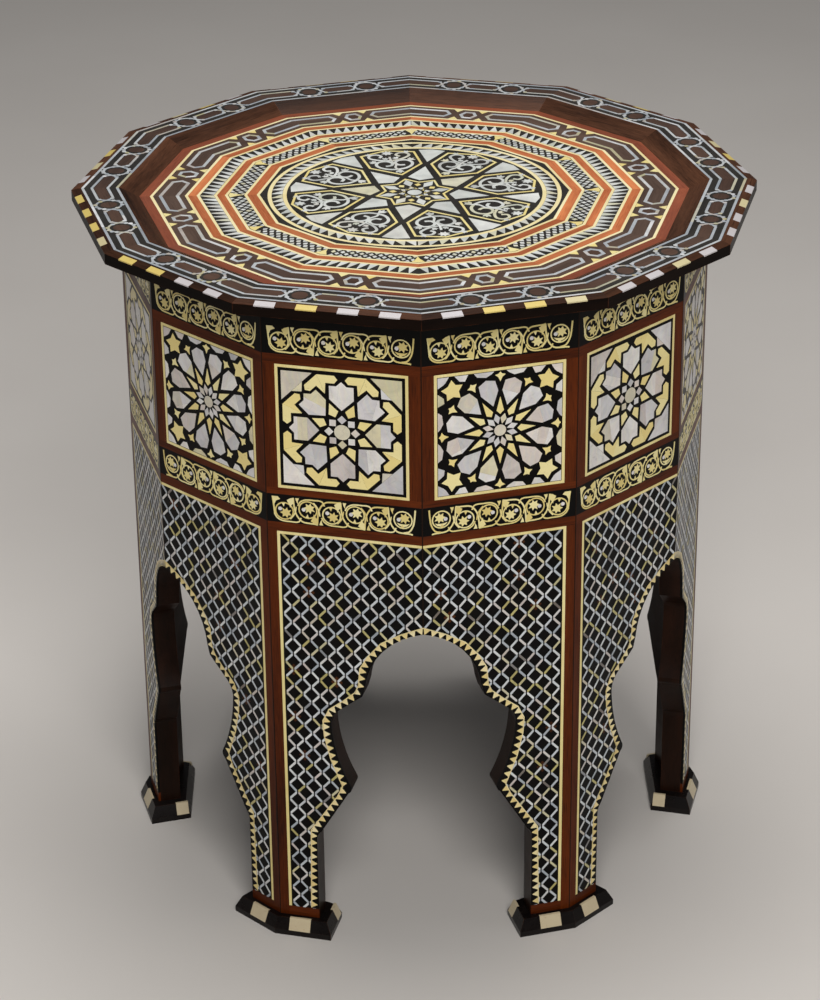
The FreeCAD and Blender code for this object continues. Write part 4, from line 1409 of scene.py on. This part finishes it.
def band_core():
    """Black middles of the small hexagons."""
    middle = BAND_MIDDLE
    return tile([along(-4.6, middle), along(-2.6, middle + 4), along(2.6, middle + 4), along(4.6, middle),
                 along(2.6, middle - 4), along(-2.6, middle - 4)], FLUSH)


top_places = [on_top(number, FIELD_TOP) for number in ALL_SIDES]
inlay("outer_band_shell", band_shell(), top_places, line_shell, 0.2, 1.0)
inlay("outer_band_wood", band_triangles(), top_places, star_wood)
inlay("outer_band_cores", band_core(), top_places, cell_walnut)

# Sawtooth band: shell teeth between black ones
TEETH = 11
TOOTH_BAND_OUTER = outer_apothem("sawtooth_band_veneers")
TOOTH_BAND_WIDTH = 11.4

# Where a tooth's foot and tip start, as shares of its step, and the gap after it, as a share of half a side
TOOTH_START = 0.14
TOOTH_TIP = 0.87
TOOTH_GAP = 0.006


def tooth_band(upright_left):
    """Shell teeth along one side, their uprights towards the left or right corner."""
    outer, inner = edges_of(TOOTH_BAND_OUTER, TOOTH_BAND_WIDTH)
    hand = 1 if upright_left else -1
    pieces = []
    for number in range(TEETH):
        low = -1 + 2 * number / TEETH
        high = -1 + 2 * (number + 1) / TEETH - TOOTH_GAP
        start = low + 2 / TEETH * TOOTH_START
        tip = low + 2 / TEETH * TOOTH_TIP
        corners = ((start, inner), (high, inner), (high, outer), (tip, outer))
        pieces.append(tile([along(hand * share * apothem * TAN, apothem) for share, apothem in corners]))
    return joined(pieces)


front_left = [on_top(number, FIELD_TOP) for number in range(6, 12)]
front_right = [on_top(number, FIELD_TOP) for number in range(0, 6)]
inlay("sawtooth_band_left", tooth_band(False), front_left, top_shell)
inlay("sawtooth_band_right", tooth_band(True), front_right, top_shell)

# Mosaic band: two rows of small shell tesserae, with a yellow piece on each corner
MOSAIC_OUTER = outer_apothem("mosaic_band_veneers")
MOSAIC_WIDTH = 13.0
MOSAIC_COUNT = 9
MOSAIC_CLEAR = 0.3
MOSAIC_REACH = 0.91


def mosaic_band():
    """Triangles along both edges of the band and diamonds down its middle."""
    outer, inner = edges_of(MOSAIC_OUTER, MOSAIC_WIDTH, MOSAIC_CLEAR)
    middle = MOSAIC_OUTER - MOSAIC_WIDTH / 2
    half = MOSAIC_REACH / MOSAIC_COUNT * inner * TAN
    shapes = (
        ((-0.62, outer), (0.62, outer), (0, middle + 2.9)),
        ((0.38, inner), (1.62, inner), (1, middle - 2.9)),
        ((-0.56, middle - 1.6), (0, middle + 0.8), (0.56, middle - 1.6), (0, middle - 4.6)),
        ((0.46, middle + 1.8), (1, middle + 4.4), (1.54, middle + 1.8), (1, middle - 0.6)),
    )
    pieces = []
    for number in range(MOSAIC_COUNT):
        share = (-1 + (2 * number + 1) / MOSAIC_COUNT) * MOSAIC_REACH
        centre = share * middle * TAN
        for shape in shapes:
            pieces.append(tile([along(centre + half * across, apothem) for across, apothem in shape]))
    return joined(pieces)


def mosaic_corner():
    """A yellow three-cornered piece across a corner of the mosaic band."""
    outer, inner = edges_of(MOSAIC_OUTER, MOSAIC_WIDTH, MOSAIC_CLEAR)
    waist = (outer + inner) / 2 / COS - 1
    piece = tile([along(-5.2, outer / COS - 1.6), along(0, outer / COS - 0.3), along(5.2, outer / COS - 1.6),
                  along(1.6, waist), along(0, inner / COS + 0.4), along(-1.6, waist)])
    piece.data.transform(Matrix.Rotation(-HALF_TURN, 4, "Z"))
    return piece


inlay("mosaic_band_shell", mosaic_band(), top_places, top_shell)
inlay("mosaic_band_corners", mosaic_corner(), top_places, star_wood)

# Round sawtooth ring and the eightfold rosette
SAW_RING_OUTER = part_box("sawtooth_ring")[1].x / MM
SAW_RING_WIDTH = 9.2
SAW_TEETH = 80
SAW_TOOTH_END = 0.92
SAW_TOOTH_TIP = 0.82
ROSETTE_TURN = 180 - 13.1


def saw_ring():
    """A ring of shell teeth in two halves, each the mirror of the other."""
    outer, inner = edges_of(SAW_RING_OUTER, SAW_RING_WIDTH)
    step = 360 / SAW_TEETH
    tooth = tile([spoke(inner, 0), spoke(inner, step * SAW_TOOTH_END), spoke(outer, step * SAW_TOOTH_END),
                  spoke(outer, step * SAW_TOOTH_TIP)])
    teeth = []
    for number in range(SAW_TEETH // 2):
        other = numbered_copy(tooth, clockwise(step * number))
        teeth += [other, mirror_of(other)]
    remove(tooth)
    return joined(teeth)


petal_outline = [spoke(105, 0), spoke(99.2, 14.2), spoke(69, 19.8), spoke(42.2, 0), spoke(69, -19.8),
                 spoke(99.2, -14.2)]


def petal_frames():
    """Yellow outlines of the eight petals, of the star in their midst and of the small one in its middle."""
    pieces = []
    for strip in strips_round(petal_outline, 2.0):
        pieces += around(strip, 8)
    star = []
    small_star = []
    for number in range(8):
        turn = EIGHTH * number
        star += [spoke(33.4, turn), spoke(25.2, turn + EIGHTH / 2)]
        small_star += [spoke(12.4, turn + EIGHTH / 2), spoke(8.2, turn)]
    pieces += strips_round(star, 1.8)
    pieces += around(tile(kite(21.4, 18.4, 9, 15)), 8, EIGHTH / 2)
    pieces += strips_round(small_star, 1.3)
    return joined(pieces)


def calyx(size):
    """A small three-pointed leaf."""
    half = [(0, 1.0), (0.3, 0.3), (0.95, 0.55), (0.7, -0.45), (0, -0.8)]
    return both_hands([(across * size, up * size) for across, up in half])


# Arabesques of the rosette, in the right half of a petal: loops, stem and leaves
BIG_LOOP = [(0.6, 57), (7.5, 58.6), (13.6, 64), (15.6, 71), (12.2, 77.4), (5.4, 78), (1.4, 73), (3.2, 67.4),
            (8.4, 66.4)]
HIGH_LOOP = [(0.6, 79), (6.4, 80.4), (12.4, 83.4), (17.4, 88.6), (16, 94.6), (10.2, 96), (6.4, 91.6),
             (9, 87.6)]
PETAL_STEM = [(0, 48.6), (1.4, 54), (-1.2, 61), (1.2, 69), (-0.8, 78), (0, 88)]
PETAL_LEAVES = [(16.6, 78.6, 3.8, 62), (4.6, 84.6, 3.0, 330), (17.0, 97.2, 2.8, 50)]


def arabesque():
    """Shell arabesques in the eight petals: loops, curling stems and leaves."""
    pieces = []
    for hand in (-1, 1):
        for points, width in ((BIG_LOOP, 2.7), (HIGH_LOOP, 2.5)):
            outline = ribbon([(x * hand, y) for x, y in smooth(points)], width)
            pieces.append(tile(outline, PROUD * (1.3 + hand * 0.1)))
        for across, up, size, turn in PETAL_LEAVES:
            outline = moved(turned(calyx(size), turn * hand), across * hand, up)
            pieces.append(tile(outline, PROUD * (1.6 + hand * 0.1)))
    pieces.append(tile(stalk(PETAL_STEM, 2.0), PROUD * 1.9))
    pieces.append(tile(moved(turned(calyx(4.0), 180), 0, 51.5), PROUD * 2.0))
    pieces.append(tile(moved(palmette(4.6), 0, 97.4), PROUD * 2.0))
    whole = joined(pieces)
    copies = [copy_of(whole, clockwise(EIGHTH * step)) for step in range(8)]
    for other in copies:
        renumber(other)
    remove(whole)
    return copies


def rosette_shell():
    """Shell of the rosette: arabesques, kites, outer triangles and the middle star's small pieces."""
    pieces = arabesque()
    pieces += around(tile(kite(62.4, 37.2, 17, 29.2)), 8, EIGHTH / 2)
    pieces += around(tile(kite(73.5, 102.8, 6.4, 104.6)), 8, EIGHTH / 2)
    pieces += around(tile(kite(30.4, 22.4, 10.5, 14.2)), 8)
    pieces.append(disc(6.0, 14))
    pieces += around(tile(kite(13.4, 10.6, 14, 7.2)), 8)
    return joined(pieces)


field_place = shift(0, 0, FIELD_TOP)
rosette_place = field_place @ clockwise(ROSETTE_TURN)
inlay("sawtooth_ring_shell", saw_ring(), [field_place], top_shell)
inlay("rosette_wood", petal_frames(), [rosette_place], star_wood)
inlay("rosette_shell", rosette_shell(), [rosette_place], top_shell)

# Blocks let into the bevelled edge of the rim, white shell and yellow bone by turns
BLOCKS_PER_SIDE = 4
WHITE, PALE, YELLOW = 1.0, 0.45, 0.05
block_tones = {
    9: (YELLOW, YELLOW, YELLOW, PALE), 10: (YELLOW, YELLOW, WHITE, WHITE), 11: (WHITE, YELLOW, WHITE, WHITE),
    0: (WHITE, YELLOW, YELLOW, PALE), 1: (WHITE, WHITE, PALE, WHITE), 2: (WHITE, WHITE, PALE, WHITE),
}
mixed_tones = (WHITE, YELLOW, PALE, WHITE)


def rim_blocks():
    """The blocks of the rim's edge with a tone each, in place of the plain ones."""
    blocks = copy_of(nodes["rim_blocks"], Matrix.Identity(4))
    for key in list(blocks.keys()):
        del blocks[key]
    edit_all(blocks)
    bpy.ops.mesh.remove_doubles(threshold=0.01 * MM)
    bpy.ops.object.mode_set(mode="OBJECT")
    tones = blocks.data.attributes.new("tone", "FLOAT", "FACE")
    for face in blocks.data.polygons:
        azimuth = math.degrees(math.atan2(face.center.x, -face.center.y)) % 360
        side = int(azimuth // SIDE_TURN)
        local = math.radians(azimuth - SIDE_TURN * (side + 0.5))
        reach = math.hypot(face.center.x, face.center.y) / MM
        place = reach * math.sin(local) / (reach * math.cos(local) * TAN)
        block = min(int((place + 1) / 2 * BLOCKS_PER_SIDE), BLOCKS_PER_SIDE - 1)
        tones.data[face.index].value = block_tones.get(side, mixed_tones)[block]
    name_piece(blocks, "rim_edge_blocks", block_bone)
    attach(blocks, "root")
    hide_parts("rim_blocks")


rim_blocks()

# Floor, lamps, world and camera
bpy.ops.object.select_all(action="DESELECT")
bpy.ops.mesh.primitive_plane_add(size=14, location=(0, 2, 0))
floor = bpy.context.object
floor.name = "floor"
floor_finish, floor_shader, floor_tree, floor_place = new_finish("floor_plaster")
floor_cloud = noise(floor_tree, floor_place, 3.0, 5.0)[0]
floor_colour = mix(floor_tree, floor_cloud, colour(212, 205, 198), colour(222, 216, 209))
floor_tree.links.new(floor_colour, floor_shader.inputs["Base Color"])
floor_shader.inputs["Roughness"].default_value = 0.6
floor.data.materials.append(floor_finish)


def lamp(name, place, target, size, power):
    """A square soft lamp that looks at a point."""
    light = bpy.data.lights.new(name, "AREA")
    light.shape = "SQUARE"
    light.size = size
    light.energy = power
    holder = bpy.data.objects.new(name, light)
    holder.location = place
    holder.rotation_euler = (Vector(target) - Vector(place)).to_track_quat("-Z", "Y").to_euler()
    bpy.context.scene.collection.objects.link(holder)


lamp("key_lamp", (0.25, -2.6, 2.45), (0, 0, 0.4), 1.5, 68)
lamp("top_lamp", (0.1, 0.3, 3.2), (0, 0, 0.5), 1.6, 50)

world = bpy.data.worlds.new("studio")
world.use_nodes = True
sky = world.node_tree.nodes["Background"]
sky.inputs["Color"].default_value = (0.93, 0.96, 1.0, 1)
sky.inputs["Strength"].default_value = 0.08
bpy.context.scene.world = world
bpy.context.scene.view_settings.view_transform = "Standard"

# Camera, as the photograph was taken
CAMERA_PLACE = (-0.03449, -2.33097, 1.46771)
CAMERA_YAW = 0.012
CAMERA_PITCH = 0.4646
CAMERA_ROLL = -0.0106
FOCAL_PIXELS = 2985.86
PHOTO_HEIGHT = 1000
SENSOR = 36.0
forward = Vector((
    math.sin(CAMERA_YAW) * math.cos(CAMERA_PITCH),
    math.cos(CAMERA_YAW) * math.cos(CAMERA_PITCH),
    -math.sin(CAMERA_PITCH),
))
level_right = Vector((math.cos(CAMERA_YAW), -math.sin(CAMERA_YAW), 0))
level_up = level_right.cross(forward)
right = level_right * math.cos(CAMERA_ROLL) + level_up * math.sin(CAMERA_ROLL)
up = level_up * math.cos(CAMERA_ROLL) - level_right * math.sin(CAMERA_ROLL)
camera_data = bpy.data.cameras.new("camera")
camera_data.sensor_width = SENSOR
camera_data.lens = FOCAL_PIXELS / PHOTO_HEIGHT * SENSOR
camera = bpy.data.objects.new("camera", camera_data)
camera.matrix_world = Matrix.Translation(CAMERA_PLACE) @ Matrix((right, up, -forward)).transposed().to_4x4()
bpy.context.scene.collection.objects.link(camera)
bpy.context.scene.camera = camera
